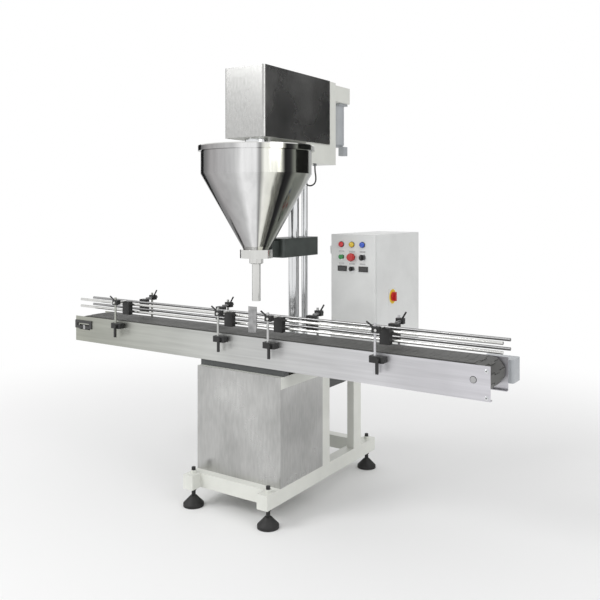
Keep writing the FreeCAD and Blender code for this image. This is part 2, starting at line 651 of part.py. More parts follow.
def foot_clamp(x, side):
    """The clamp that holds a bracket's upright on the side plate."""
    front = side == "front"
    y = f"{PLATE_FRONT} - foot_clamp_depth" if front else PLATE_REAR
    line = FRONT_POST_LINE if front else REAR_POST_LINE
    low = "foot_clamp_top - foot_clamp_height"
    block = rounded_box(f"{x}_foot_block", (f"{x} - foot_clamp_width * 0.36", y, low),
                        ("foot_clamp_width", "foot_clamp_depth", "foot_clamp_height"), "8")
    bore = rod(f"{x}_foot_bore", (x, line, low), "post_radius + running_gap", "foot_clamp_height")
    return cut(f"{x}_foot_clamp", block, bore)


def cross_clamp(x, side):
    """The clamp at the top of an upright, with its crossed arm hole and its small lever."""
    front = side == "front"
    line = FRONT_POST_LINE if front else REAR_POST_LINE
    half = "cross_clamp_side / 2"
    block = box(f"{x}_cross_block", (f"{x} - {half} + 2", f"{line} - {half}", f"cross_clamp_height - {half}"),
                ("cross_clamp_side + 10", "cross_clamp_side", "cross_clamp_side"))
    post = rod(f"{x}_cross_post_bore", (x, line, f"cross_clamp_height - {half}"),
               "post_radius + running_gap", "cross_clamp_side")
    arm = rod(f"{x}_cross_arm_bore", (f"{x} + arm_shift", f"{line} - {half}", "cross_clamp_height"),
              "post_radius + running_gap", "cross_clamp_side", "Y")
    body = cut(f"{x}_cross_body", block, post, arm)
    return fuse(f"{x}_cross_clamp", body, top_lever(x, line, front))


def top_lever(x, line, front):
    """The small tilted lever that tightens a cross clamp."""
    lever = doc.addObject("Part::Cylinder", f"{x}_top_lever")
    tilt = -58 if front else 32
    lever.Placement = FreeCAD.Placement(
        FreeCAD.Vector(), FreeCAD.Rotation(FreeCAD.Vector(0, 1, 0), tilt))
    bind(lever, Radius="top_lever_radius", Height="top_lever_length")
    shift = "- 9" if front else "+ 16"
    place(lever, (f"{x} {shift}", line, "cross_clamp_height + cross_clamp_side / 2 - 3"))
    return lever


def guide_clamps():
    """All the brackets' clamps."""
    made = []
    for side, line in (("front", FRONT_BRACKETS), ("rear", REAR_BRACKETS)):
        for x in line:
            made.append(foot_clamp(x, side))
            made.append(cross_clamp(x, side))
    return group("guide_clamps", *made)


def guide_bars(side):
    """One side's two rails and the arms that carry them."""
    front = side == "front"
    y = FRONT_RAIL_LINE if front else REAR_RAIL_LINE
    line = FRONT_POST_LINE if front else REAR_POST_LINE
    start = f"{line} - cross_clamp_side / 2 - arm_stub" if front else f"{y} + rail_block_depth"
    length = (f"{y} - rail_block_depth - ({start})" if front
              else f"{line} + cross_clamp_side / 2 + arm_stub - ({start})")
    made = [rod(f"{side}_rail_{height}", ("-rail_length / 2", y, height), "rail_radius", "rail_length", "X")
            for height in ("rail_low", "rail_high")]
    for x in (FRONT_BRACKETS if front else REAR_BRACKETS):
        made.append(rod(f"{x}_arm", (f"{x} + arm_shift", start, "cross_clamp_height"), "post_radius",
                        length, "Y"))
    return group(f"{side}_guide_bars", *made)


def guide_blocks(side):
    """The blocks that hold both rails, each with two round seats."""
    front = side == "front"
    y = FRONT_RAIL_LINE if front else REAR_RAIL_LINE
    low = f"{y} - rail_block_depth" if front else y
    made = []
    for x in (FRONT_BRACKETS if front else REAR_BRACKETS):
        left = f"{x} + arm_shift - rail_block_width / 2"
        block = box(f"{x}_rail_block", (left, low, BLOCK_BOTTOM),
                    ("rail_block_width", "rail_block_depth", BLOCK_HEIGHT))
        seats = [rod(f"{x}_seat_{height}", (left, y, height), "rail_radius + running_gap",
                     "rail_block_width", "X") for height in ("rail_low", "rail_high")]
        made.append(cut(f"{x}_block", block, *seats))
    return group(f"{side}_guide_blocks", *made)


def sensor_bracket():
    """The flat plate on the front rails under the nozzle."""
    y = f"{FRONT_RAIL_LINE} - rail_radius - sensor_plate_wall"
    return box("sensor_bracket",
               ("axis_x + sensor_plate_shift - sensor_plate_width / 2", y,
                "(rail_low + rail_high) / 2 - sensor_plate_height * 0.44"),
               ("sensor_plate_width", "sensor_plate_wall", "sensor_plate_height"))


def clamp_lever(name, x):
    """The hanging lever of a front foot clamp, on its round hub."""
    y = f"{PLATE_FRONT} - foot_clamp_depth - lever_depth"
    height = "foot_clamp_top - foot_clamp_height / 2"
    hub = rod(f"{name}_hub", (f"{x} + lever_shift", y, height), "lever_hub", "lever_depth", "Y")
    arm = box(f"{name}_arm", (f"{x} + lever_shift - lever_width / 2", y, f"{height} - lever_length"),
              ("lever_width", "lever_depth * 0.6", "lever_length"))
    return fuse(name, hub, arm)


# Filling head


def head_cover():
    """The stainless cover, a deep box with rounded upright edges, open below and behind."""
    left = "axis_x - cover_width / 2"
    outer = rounded_box("cover_outer", (left, "cover_front", "cover_bottom"),
                        ("cover_width", "cover_rear - cover_front", "cover_top - cover_bottom"),
                        "cover_corner")
    inner = box("cover_inner", (f"{left} + cover_wall", "cover_front + cover_corner", "cover_bottom - 1"),
                ("cover_width - 2 * cover_wall", "cover_rear - cover_front",
                 "cover_top - cover_bottom - cover_wall + 1"))
    nose = box("cover_inner_nose",
               (f"{left} + cover_corner", "cover_front + cover_wall", "cover_bottom - 1"),
               ("cover_width - 2 * cover_corner", "cover_corner + 1",
                "cover_top - cover_bottom - cover_wall + 1"))
    return cut("head_cover", outer, inner, nose)


def head_block():
    """The head's casting: the block that slides on the pillars and the deck in front of it."""
    left = "axis_x - block_width / 2"
    block = box("block_body", (left, "block_front", "block_bottom"),
                ("block_width", "cover_rear - block_front", "cover_bottom - block_bottom"))
    deck = box("block_deck", (left, "cover_front + cover_corner + 2", "cover_bottom"),
               ("block_width", "cover_rear - cover_front - cover_corner - 2", "deck_thickness"))
    tools = [
        rod("block_bore", ("axis_x", "pillar_y", "block_bottom - 1"), "pillar_radius + running_gap",
            "cover_bottom - block_bottom + deck_thickness + 2"),
        rod("block_guide_bore", ("axis_x", "guide_pillar_y", "block_bottom - 1"),
            "guide_pillar_radius + running_gap", "cover_bottom - block_bottom + deck_thickness + 2"),
        rod("deck_bore", ("axis_x", "lane_y", "cover_bottom - 1"), "spindle_bore", "deck_thickness + 2"),
        rod("block_hopper_relief", ("axis_x", "lane_y", "block_bottom - 1"), "rim_radius + hopper_relief",
            "rim_top + lid_thickness + hatch_rise + 8 - block_bottom"),
    ]
    return cut("head_block", fuse("block_casting", block, deck), *tools)


def head_back_plate():
    """The box-shaped back of the head, open towards the cover, with the belt's window."""
    left = "axis_x - block_width / 2"
    height = "cover_top - block_bottom"
    body = box("back_body", (left, "cover_rear", "block_bottom"), ("block_width", "back_plate_depth", height))
    hollow = box("back_hollow",
                 (f"{left} + back_plate_wall", "cover_rear - 1", "cover_bottom + deck_thickness"),
                 ("block_width - 2 * back_plate_wall", "back_plate_depth - back_plate_wall + 1",
                  "cover_top - cover_bottom - deck_thickness - back_plate_wall"))
    window = box("back_window", ("axis_x - pulley_radius - 16", "cover_rear", "pulley_bottom - 8"),
                 ("2 * pulley_radius + 32", "back_plate_depth + 1", "pulley_height + 16"))
    return cut("head_back_plate", body, hollow, window)


def belt_housing():
    """The housing over the motor's pulley, behind the back plate."""
    left = "axis_x - housing_width / 2"
    y = "cover_rear + back_plate_depth"
    low = "cover_top - housing_height"
    body = rounded_box("housing_body", (left, y, low), ("housing_width", "housing_depth", "housing_height"),
                       "6")
    hollow = box("housing_hollow", (f"{left} + housing_wall + 4", f"{y} - 1", f"{low} + housing_wall"),
                 ("housing_width - 2 * housing_wall - 8", "housing_depth - housing_wall - 4",
                  "housing_height - 2 * housing_wall"))
    hole = rod("housing_hole", ("axis_x", "motor_y", f"{low} - 1"), "motor_shaft_radius + 6",
               "housing_wall + 2")
    return cut("belt_housing", body, hollow, hole)


def auger_motor():
    """The auger's servo motor, hung under the belt housing, with its connector below."""
    top = "cover_top - housing_height"
    flange = box("motor_flange_plate",
                 ("axis_x - motor_flange / 2", "motor_y - motor_flange / 2 + 14", f"{top} - motor_flange_thickness"),
                 ("motor_flange", "motor_flange - 28", "motor_flange_thickness"))
    bottom = f"{top} - motor_length"
    profile = [
        ("0", "0"), ("motor_cap_radius", "0"), ("motor_radius", "motor_cap_height"),
        ("motor_radius", "motor_length - 6"), ("motor_cap_radius", "motor_length"),
        ("0", "motor_length"),
    ]
    barrel = turned("motor_barrel", profile, ("axis_x", "motor_y", bottom))
    bore = rod("motor_bore", ("axis_x", "motor_y", f"{top} - 40"), "motor_shaft_radius + running_gap / 2", "41")
    case = cut("motor_case", fuse("motor_solid", barrel, flange), bore)
    connector = box("motor_connector",
                    ("connector_x - connector_width / 2", "motor_y - connector_depth / 2",
                     f"{bottom} - connector_height"),
                    ("connector_width", "connector_depth", "connector_height"))
    return group("auger_motor", case, connector)


def pulley(name, y, shaft_radius, shaft_low, shaft_high):
    """A flanged timing pulley on its shaft."""
    rim = "pulley_radius + pulley_flange"
    low, wall, height = "pulley_bottom", "pulley_flange_wall", "pulley_height"
    base = f"({shaft_low})"
    profile = [
        ("0", "0"), (shaft_radius, "0"), (shaft_radius, f"{low} - {base}"), (rim, f"{low} - {base}"),
        (rim, f"{low} + {wall} - {base}"), ("pulley_radius", f"{low} + {wall} - {base}"),
        ("pulley_radius", f"{low} + {height} - {wall} - {base}"),
        (rim, f"{low} + {height} - {wall} - {base}"), (rim, f"{low} + {height} - {base}"),
        (shaft_radius, f"{low} + {height} - {base}"), (shaft_radius, f"{shaft_high} - {base}"),
        ("0", f"{shaft_high} - {base}"),
    ]
    return turned(name, profile, ("axis_x", y, shaft_low))


def belt_loop(name, grow, shrink_height):
    """The stadium shape round both pulleys."""
    radius = f"pulley_radius + belt_gap + {grow}"
    low = f"pulley_bottom + pulley_flange_wall + belt_gap - {shrink_height}"
    height = f"pulley_height - 2 * pulley_flange_wall - 2 * belt_gap + 2 * {shrink_height}"
    return fuse(
        name,
        rod(f"{name}_front", ("axis_x", "lane_y", low), radius, height),
        rod(f"{name}_rear", ("axis_x", "motor_y", low), radius, height),
        box(f"{name}_span", (f"axis_x - ({radius})", "lane_y", low),
            (f"2 * ({radius})", "motor_y - lane_y", height)),
    )


def drive_belt():
    """The timing belt from the motor's pulley to the auger's."""
    return cut("drive_belt", belt_loop("belt_outside", "belt_thickness", "0"),
               belt_loop("belt_inside", "0", "1"))


def agitator_gearbox():
    """The hollow-shaft gearbox that turns the agitator, on the head's deck."""
    profile = [
        ("agitator_tube_radius + clear_gap", "0"), ("gearbox_radius", "0"),
        ("gearbox_radius", "head_gearbox_height - 10"), ("gearbox_radius - 10", "head_gearbox_height"),
        ("agitator_tube_radius + clear_gap", "head_gearbox_height"),
    ]
    case = turned("agitator_case", profile, ("axis_x", "lane_y", "cover_bottom + deck_thickness"))
    motor = rod("agitator_motor", ("axis_x", "lane_y + gearbox_radius - 6", "cover_bottom + deck_thickness + 36"),
                "30", "120", "Y")
    return fuse("agitator_gearbox", case, motor)


def spindle_housing():
    """The chromed housing between the hopper's lid and the head's deck."""
    height = f"cover_bottom - {LID_TOP}"
    profile = [
        ("spindle_bore", "0"), ("spindle_radius", "0"), ("spindle_radius", "6"),
        ("spindle_radius - 6", "6"), ("spindle_radius - 6", height), ("spindle_bore", height),
    ]
    return turned("spindle_housing", profile, ("axis_x", "lane_y", LID_TOP))


def hopper_arm():
    """The cast arm: a split clamp on both pillars and a narrower neck that holds the collar."""
    body = rounded_box("arm_body", ("axis_x - arm_width / 2", "arm_front", "arm_bottom"),
                       ("arm_width", "arm_rear - arm_front", "arm_top - arm_bottom"), "16")
    seat = "lane_y + collar_radius * 0.8"
    neck = box("arm_neck", ("axis_x - neck_width / 2", seat, "neck_bottom"),
               ("neck_width", f"arm_front + 2 - ({seat})", "neck_top - neck_bottom"))
    height = "arm_top - arm_bottom + 2"
    tools = [
        rod("arm_bore", ("axis_x", "pillar_y", "arm_bottom - 1"), "pillar_radius + running_gap", height),
        rod("arm_guide_bore", ("axis_x", "guide_pillar_y", "arm_bottom - 1"),
            "guide_pillar_radius + running_gap", height),
        rod("arm_collar_seat", ("axis_x", "lane_y", "neck_bottom - 1"), "collar_radius", "neck_top - neck_bottom + 2"),
        box("arm_clamp_slot", ("axis_x - arm_slot / 2", "guide_pillar_y", "arm_bottom - 1"),
            ("arm_slot", "arm_rear - guide_pillar_y + 1", height)),
        box("arm_pocket_cut", ("axis_x - arm_width / 2 + arm_wall", "arm_front + arm_wall", "arm_bottom - 1"),
            ("arm_width - 2 * arm_wall", "pillar_y - pillar_radius - 2 * arm_wall - arm_front", "arm_pocket + 1")),
        rod("arm_cone_relief", ("axis_x", "lane_y", "cone_bottom"),
            f"outlet_radius + {CONE_SLOPE} * (neck_top - cone_bottom) + 5", "neck_top - cone_bottom + 1"),
    ]
    return cut("hopper_arm", fuse("arm_casting", body, neck), *tools)


def hopper():
    """The hopper: a thin cylinder and cone with a flanged rim, turned in one."""
    low = "cone_bottom"
    wall = "hopper_wall"
    profile = [
        (f"outlet_radius - {wall}", "0"), ("outlet_radius", "0"), ("hopper_radius", f"cone_top - {low}"),
        ("hopper_radius", f"rim_top - rim_height - {low}"), ("rim_radius", f"rim_top - rim_height + 3 - {low}"),
        ("rim_radius", f"rim_top - {low}"), (f"hopper_radius - {wall}", f"rim_top - {low}"),
        (f"hopper_radius - {wall}", f"cone_top - {low}"),
    ]
    shell = turned("hopper_shell", profile, ("axis_x", "lane_y", low))
    port = rod("hopper_sensor_port", ("sensor_x", "lane_y", "sensor_height"), "sensor_radius * 0.5",
               "hopper_radius + 20", "Y")
    return cut("hopper", shell, port)


def hopper_lid():
    """The fixed part of the lid, with its hinge ears and pins for the hatch."""
    disc = washer("lid_disc", ("axis_x", "lane_y", "rim_top"), "rim_radius", "spindle_bore", "lid_thickness")
    away = box("lid_hatch_cut", ("axis_x - rim_radius - 1", "lane_y - rim_radius", "rim_top - 1"),
               ("hatch_x - axis_x + rim_radius + 1", "2 * rim_radius", "lid_thickness + 2"))
    plate = cut("lid_plate", disc, away)
    pieces = [plate]
    height = "rim_top + hatch_rise"
    for k, side in enumerate((-1, 1)):
        middle = f"lane_y + {side} * barrel_spread / 2"
        half = "barrel_length / 2"
        pieces.append(rod(f"lid_pin_{k}", ("hatch_x", f"{middle} - {half} - 9", height), "hinge_pin_radius",
                          "barrel_length + 18", "Y"))
        for end, y in (("near", f"{middle} - {half} - 10 - clear_gap"), ("far", f"{middle} + {half} + clear_gap")):
            pieces.append(rod(f"lid_ear_{k}_{end}", ("hatch_x", y, height), "barrel_radius", "10", "Y"))
            pieces.append(box(f"lid_leg_{k}_{end}", ("hatch_x + 0.5", y, LID_TOP),
                              ("barrel_radius + 8", "10", "hatch_rise - lid_thickness + 1")))
    return fuse("hopper_lid", *pieces)


def lid_hatch():
    """The hinged part of the lid over the filling opening."""
    disc = rod("hatch_disc", ("axis_x", "lane_y", "rim_top"), "rim_radius", "lid_thickness")
    keep = box("hatch_keep", ("axis_x - rim_radius - 1", "lane_y - rim_radius", "rim_top - 1"),
               ("hatch_x - hatch_gap - axis_x + rim_radius + 1", "2 * rim_radius", "lid_thickness + 2"))
    segment = doc.addObject("Part::Common", "hatch_segment")
    segment.Base = disc
    segment.Tool = keep
    pieces = [segment]
    height = "rim_top + hatch_rise"
    for k, side in enumerate((-1, 1)):
        y = f"lane_y + {side} * barrel_spread / 2 - barrel_length / 2"
        barrel = rod(f"hatch_barrel_{k}", ("hatch_x", y, height), "barrel_radius", "barrel_length", "Y")
        leg = box(f"hatch_leg_{k}", ("hatch_x - barrel_radius - 8", y, LID_TOP),
                  ("barrel_radius + 5", "barrel_length", "hatch_rise - lid_thickness + 1"))
        bore = rod(f"hatch_bore_{k}", ("hatch_x", f"{y} - 1", height), "hinge_pin_radius + running_gap",
                   "barrel_length + 2", "Y")
        pieces.append(cut(f"hatch_hinge_{k}", fuse(f"hatch_knuckle_{k}", barrel, leg), bore))
    knob = rod("hatch_knob", ("hatch_x - 90", "lane_y", LID_TOP), "hatch_knob_radius", "hatch_knob_height")
    return fuse("lid_hatch", *pieces, knob)


def hopper_collar():
    """The ring under the hopper, with a funnel mouth that narrows to the filling tube."""
    height = "cone_bottom - collar_bottom"
    throat = "collar_throat - collar_bottom"
    profile = [
        ("tube_radius + running_gap", "0"), ("collar_radius", "0"), ("collar_radius", height),
        ("collar_mouth", height), ("tube_bore", throat), ("tube_radius + running_gap", throat),
    ]
    return turned("hopper_collar", profile, ("axis_x", "lane_y", "collar_bottom"))


def fill_tube():
    """The filling tube, with the flange that its nut holds up against the collar."""
    low = "tube_bottom"
    flange = "collar_bottom - tube_flange_height"
    profile = [
        ("tube_bore", "0"), ("tube_radius", "0"), ("tube_radius", f"nut_bottom - 2 - {low}"),
        ("tube_neck_radius", f"nut_bottom - 2 - {low}"), ("tube_neck_radius", f"{flange} - {low}"),
        ("tube_flange_radius", f"{flange} - {low}"), ("tube_flange_radius", f"collar_bottom - {low}"),
        ("tube_radius", f"collar_bottom - {low}"), ("tube_radius", f"collar_throat - {low}"),
        ("tube_bore", f"collar_throat - {low}"),
    ]
    return turned("fill_tube", profile, ("axis_x", "lane_y", low))


def tube_nut():
    """The scalloped hand nut under the collar."""
    height = "collar_bottom - nut_bottom"
    step = f"{height} - tube_flange_height"
    inner = "tube_neck_radius + clear_gap"
    wide = "tube_flange_radius + clear_gap"
    profile = [
        (inner, "0"), ("nut_radius - 3", "0"), ("nut_radius", "3"), ("nut_radius", height), (wide, height),
        (wide, step), (inner, step),
    ]
    ring = turned("nut_ring", profile, ("axis_x", "lane_y", "nut_bottom"))
    doc.recompute()
    tools = []
    for k in range(int(size("nut_scallops"))):
        angle = f"{k} * 360 deg / nut_scallops"
        tools.append(rod(f"nut_scallop_{k}",
                         (f"axis_x + (nut_radius + 1.5) * cos({angle})",
                          f"lane_y + (nut_radius + 1.5) * sin({angle})", "nut_bottom - 1"),
                         "4", f"{height} + 2"))
    return cut("tube_nut", ring, *tools)


SENSOR_FACE = (
    "(lane_y + sqrt(hopper_radius ^ 2 - (sensor_x - axis_x - sensor_radius) ^ 2) + clear_gap)"
)


def level_sensor():
    """The powder level sensor on the hopper's rear wall."""
    stem = rod("sensor_stem", ("sensor_x", f"{SENSOR_FACE} - 14", "sensor_height"),
               "sensor_radius * 0.5 - clear_gap", "20", "Y")
    body = rod("sensor_body", ("sensor_x", SENSOR_FACE, "sensor_height"), "sensor_radius",
               "sensor_length", "Y")
    gland = rod("cable_gland", ("gland_x", "gland_y", "block_bottom - gland_height"), "gland_radius",
                "gland_height")
    return group("level_sensor", fuse("sensor_probe", stem, body), gland)


# The cable's route: down from its gland, then round and up to the sensor's tail.
CABLE_DROP = [(0, 0, 0), (0, 0, -28), (9, -4, -58), (9, -7, -88)]
CABLE_RISE = [
    (40, 69, -65), (16, 65, -66), (-1, 61, -49), (-2, 54, -26), (-1, 38, -7), (0, 17, 0),
    (0, 0, 0),
]


def level_cable():
    """The level sensor's cable: a hanging loop from the head's block to the sensor."""
    gland = FreeCAD.Vector(size("gland_x"), size("gland_y"), size("block_bottom") - size("gland_height"))
    tail = FreeCAD.Vector(size("sensor_x"), sensor_tail(), size("sensor_height"))
    points = [gland + FreeCAD.Vector(*step) for step in CABLE_DROP]
    points += [tail + FreeCAD.Vector(*step) for step in CABLE_RISE]
    cable = doc.addObject("Part::Feature", "level_cable")
    cable.Shape = round_bar(points, size("cable_radius"))
    return cable


def sensor_tail():
    """Where the level sensor ends, behind the hopper's wall."""
    across = size("sensor_x") - size("axis_x") - size("sensor_radius")
    wall = size("lane_y") + math.sqrt(size("hopper_radius") ** 2 - across ** 2)
    return wall + size("clear_gap") + size("sensor_length")


def round_bar(points, radius):
    """A round bar of straight runs joined by tangent arcs, each as wide as its two runs allow."""
    pieces, bends = [], []
    here = points[0]
    for before, corner, after in zip(points, points[1:], points[2:]):
        back, ahead = before - corner, after - corner
        trim = 0.45 * min(back.Length, ahead.Length)
        back.normalize()
        ahead.normalize()
        turn = math.pi - back.getAngle(ahead)
        bend = trim / math.tan(turn / 2)
        enter = corner + back * trim
        axis = back.cross(ahead).normalize()
        inward = axis.cross(back)
        pieces.append(Part.makeCylinder(radius, (enter - here).Length, here, -back))
        disc = Part.Face(Part.Wire(Part.makeCircle(radius, enter, -back)))
        centre = enter + inward * bend
        pieces.append(disc.revolve(centre, -axis, math.degrees(turn)))
        bends.append(round(bend, 1))
        here = corner + ahead * trim
    last = points[-1] - here
    pieces.append(Part.makeCylinder(radius, last.Length, here, last))
    print("bend radii", bends)
    return pieces[0].fuse(pieces[1:])


def auger():
    """The auger: a shaft from its pulley to the nozzle, with a helical flight in the tube."""
    low = size("auger_bottom")
    core, shaft = size("auger_core_radius"), size("auger_shaft_radius")
    flight_top, top = size("flight_top"), size("pulley_bottom")
    x, y = size("axis_x"), size("lane_y")
    pieces = [
        Part.makeCone(core * 0.4, core, 8, FreeCAD.Vector(x, y, low)),
        Part.makeCylinder(core, flight_top - low - 8, FreeCAD.Vector(x, y, low + 8)),
        Part.makeCylinder(shaft, top - flight_top, FreeCAD.Vector(x, y, flight_top)),
    ]
    stem = pieces[0].fuse(pieces[1:]).removeSplitter()
    height = flight_top - low - 10 - size("flight_thickness")
    ribbon = flight(size("flight_pitch"), height, core - 0.6, size("flight_radius"), size("flight_thickness"))
    ribbon.translate(FreeCAD.Vector(x, y, low + 10))
    feature = doc.addObject("Part::Feature", "auger")
    feature.Shape = stem.fuse(ribbon)
    return feature


def flight(pitch, height, inner, outer, thickness):
    """A screw flight of short flat-sided steps."""
    steps = round(FLIGHT_STEPS * height / pitch)
    sections = []
    for k in range(steps + 1):
        angle = 2 * math.pi * k / FLIGHT_STEPS
        lift = pitch * k / FLIGHT_STEPS
        sections.append([FreeCAD.Vector(reach * math.cos(angle), reach * math.sin(angle), lift + up)
                         for reach, up in ((inner, 0), (outer, 0), (outer, thickness), (inner, thickness))])
    faces = [flat(sections[0]), flat(sections[-1])]
    for low, high in zip(sections, sections[1:]):
        for k in range(4):
            after = (k + 1) % 4
            faces.append(flat([low[k], low[after], high[k]]))
            faces.append(flat([low[after], high[after], high[k]]))
    return Part.makeSolid(Part.makeShell(faces))


def flat(corners):
    return Part.Face(Part.makePolygon(corners + corners[:1]))


def agitator():
    """The agitator: a hollow shaft with two blades that follow the hopper's cone."""
    bottom = "agitator_tube_bottom"
    top = "cover_bottom + deck_thickness + head_gearbox_height"
    tube = washer("agitator_tube", ("axis_x", "lane_y", bottom), "agitator_tube_radius",
                  "agitator_tube_bore", f"{top} - {bottom}")
    high = f"(outlet_radius - blade_clearance + {CONE_SLOPE} * (blade_top - cone_bottom - 4))"
    low = f"(outlet_radius - blade_clearance + {CONE_SLOPE} * (blade_bottom - cone_bottom))"
    blades = []
    for name, sign in (("right", ""), ("left", "-")):
        outside = [
            (f"{sign}11", "blade_top"), (f"{sign}{high}", "blade_top"),
            (f"{sign}{low}", "blade_bottom"), (f"{sign}({low} - blade_width)", "blade_bottom"),
            (f"{sign}({high} - blade_width * 1.2)", "blade_top - blade_width"),
            (f"{sign}11", "blade_top - blade_width"),
        ]
        blades.append(padded(f"blade_{name}", "XZ_Plane", outside, "blade_wall",
                             ("axis_x", "lane_y - blade_wall / 2", "0")))
    joined = fuse("agitator_solid", tube, *blades)
    bore = rod("agitator_bore", ("axis_x", "lane_y", f"{bottom} - 1"), "agitator_tube_bore", "60")
    return cut("agitator", joined, bore)


# Control box


def control_box_shell():
    """The control box: a wrap of three sides with a top and a bottom, open behind its door."""
    depth = f"box_depth + box_front - {DOOR_BACK} - door_gap"
    y = f"{DOOR_BACK} + door_gap"
    outer = rounded_box("shell_outer", ("box_left", y, "box_bottom"),
                        ("box_width", depth, "box_top - box_bottom"), "3")
    inner = box("shell_inner", ("box_left + box_wall", f"{y} - 1", "box_bottom - 1"),
                ("box_width - 2 * box_wall", f"{depth} - box_wall + 1", "box_top - box_bottom + 2"))
    stem = rod("shell_isolator_hole", ("box_left + box_width - box_wall - 1", "isolator_y", "isolator_height"),
               "stem_bore", "box_wall + 2", "X")
    wrap = cut("box_wrap", outer, inner, stem)
    ends = [box(f"shell_{name}", ("box_left + box_wall", y, z),
                ("box_width - 2 * box_wall", f"{depth} - box_wall", "box_wall"))
            for name, z in (("bottom", "box_bottom"), ("top", "box_top - box_wall"))]
    plate = box("isolator_plate_blank",
                ("box_left + box_width", "isolator_y - isolator_plate / 2", "isolator_height - isolator_plate / 2"),
                ("isolator_plate_wall", "isolator_plate", "isolator_plate"))
    hole = rod("isolator_plate_hole", ("box_left + box_width - 1", "isolator_y", "isolator_height"),
               "stem_bore", "isolator_plate_wall + 2", "X")
    pieces = [wrap, *ends, cut("isolator_plate_piece", plate, hole)]
    for k, z in enumerate(("box_bottom + 60", "box_top - 60 - door_barrel_length")):
        pieces.append(shell_hinge(k, z, y))
    return group("control_box_shell", *pieces)


def shell_hinge(k, z, y):
    """A hinge's lower barrel on the box, with its leaf and the pin."""
    barrel = rod(f"shell_barrel_{k}", ("door_hinge_x", "door_hinge_y", z), "door_barrel_radius",
                 "door_barrel_length / 2")
    pin = rod(f"shell_pin_{k}", ("door_hinge_x", "door_hinge_y", z), "door_pin_radius", "door_barrel_length")
    leaf = box(f"shell_leaf_{k}", ("door_hinge_x", f"{y} + 1", z),
               ("box_left - door_hinge_x", "14", "door_barrel_length / 2"))
    return fuse(f"shell_hinge_{k}", barrel, pin, leaf)


def control_door():
    """The control box's door, a shallow pan with holes for its switches."""
    outer = rounded_box("door_outer", ("box_left", "box_front", "box_bottom"),
                        ("box_width", "door_depth", "box_top - box_bottom"), "3")
    inner = box("door_inner", ("box_left + box_wall", "box_front + box_wall", "box_bottom + box_wall"),
                ("box_width - 2 * box_wall", "door_depth", "box_top - box_bottom - 2 * box_wall"))
    holes = []
    for name, x, z in (("start", "column_1", "button_height"), ("stop", "column_2", "button_height"),
                       ("speed", "column_3", "button_height"), ("mode", "column_2", "display_height")):
        holes.append(rod(f"door_hole_{name}", (x, "box_front - 1", z), "stem_bore", "box_wall + 2", "Y"))
    pan = cut("door_pan", outer, inner, *holes)
    hinges = []
    for k, z in enumerate(("box_bottom + 60", "box_top - 60 - door_barrel_length")):
        low = f"{z} + door_barrel_length / 2 + clear_gap"
        height = "door_barrel_length / 2 - clear_gap"
        barrel = rod(f"door_barrel_{k}", ("door_hinge_x", "door_hinge_y", low), "door_barrel_radius", height)
        leaf = box(f"door_leaf_{k}", ("door_hinge_x", "door_hinge_y - door_barrel_radius - 8", low),
                   ("box_left - door_hinge_x", "12", height))
        bore = rod(f"door_bore_{k}", ("door_hinge_x", "door_hinge_y", f"{low} - 1"),
                   "door_pin_radius + running_gap", f"{height} + 2")
        hinges.append(cut(f"door_hinge_{k}", fuse(f"door_knuckle_{k}", barrel, leaf), bore))
    return fuse("control_door", pan, *hinges)


def door_instruments():
    """Three indicator lamps and two small displays on the door's face."""
    made = []
    for k, x in enumerate(("column_1", "column_2", "column_3")):
        bezel = rod(f"lamp_bezel_{k}", (x, "box_front - bezel_depth", "lamp_height"), "lamp_radius + 2",
                    "bezel_depth", "Y")
        lens = cone(f"lamp_lens_{k}", (x, "box_front - lamp_depth", "lamp_height"), "lamp_radius - 3",
                    "lamp_radius", "lamp_depth - bezel_depth", "Y")
        made.append(fuse(f"lamp_{k}", bezel, lens))
    for k, x in enumerate(("column_1 + 5", "column_3 + 5")):
        made.append(rounded_plate(f"display_{k}", x, "display_height"))
    return group("door_instruments", *made)


def rounded_plate(name, x, z):
    """A small display: a bezel with a sunken window."""
    bezel = box(f"{name}_bezel", (f"{x} - display_width / 2", "box_front - bezel_depth", f"{z} - display_tall / 2"),
                ("display_width", "bezel_depth", "display_tall"))
    window = box(f"{name}_window", (f"{x} - display_width / 2 + 4", "box_front - bezel_depth - 1",
                                    f"{z} - display_tall / 2 + 4"),
                 ("display_width - 8", "2", "display_tall - 8"))
    return cut(name, bezel, window)


def push_button(name, x, radius, depth, domed):
    """A button head on a stem that passes through the door."""
    y = f"box_front - clear_gap - {depth}"
    if domed:
        neck = rod(f"{name}_neck", (x, f"{y} + {depth} * 0.5", "button_height"), f"{radius} * 0.62",
                   f"{depth} * 0.5 - 5", "Y")
        cap = cone(f"{name}_cap", (x, y, "button_height"), f"{radius} * 0.8", radius, f"{depth} * 0.5", "Y")
        head = fuse(f"{name}_head", neck, cap)
    else:
        head = rod(f"{name}_head", (x, y, "button_height"), radius, f"{depth} - 5", "Y")
    stem = rod(f"{name}_stem", (x, y, "button_height"), "stem_size", f"{depth} + stem_reach", "Y")
    return fuse(name, head, stem)


def turn_knob(name, x, z, radius, depth):
    """A round knob with a raised grip bar, on a stem that passes through the door."""
    y = f"box_front - clear_gap - {depth}"
    skirt = rod(f"{name}_skirt", (x, f"{y} + {depth} * 0.4", z), radius, f"{depth} * 0.6", "Y")
    grip = box(f"{name}_grip", (f"{x} - {radius} * 0.3", y, f"{z} - {radius} * 0.85"),
               (f"{radius} * 0.6", f"{depth} * 0.5", f"{radius} * 1.7"))
    stem = rod(f"{name}_stem", (x, y, z), "stem_size * 0.7", f"{depth} + stem_reach", "Y")
    return fuse(name, skirt, grip, stem)


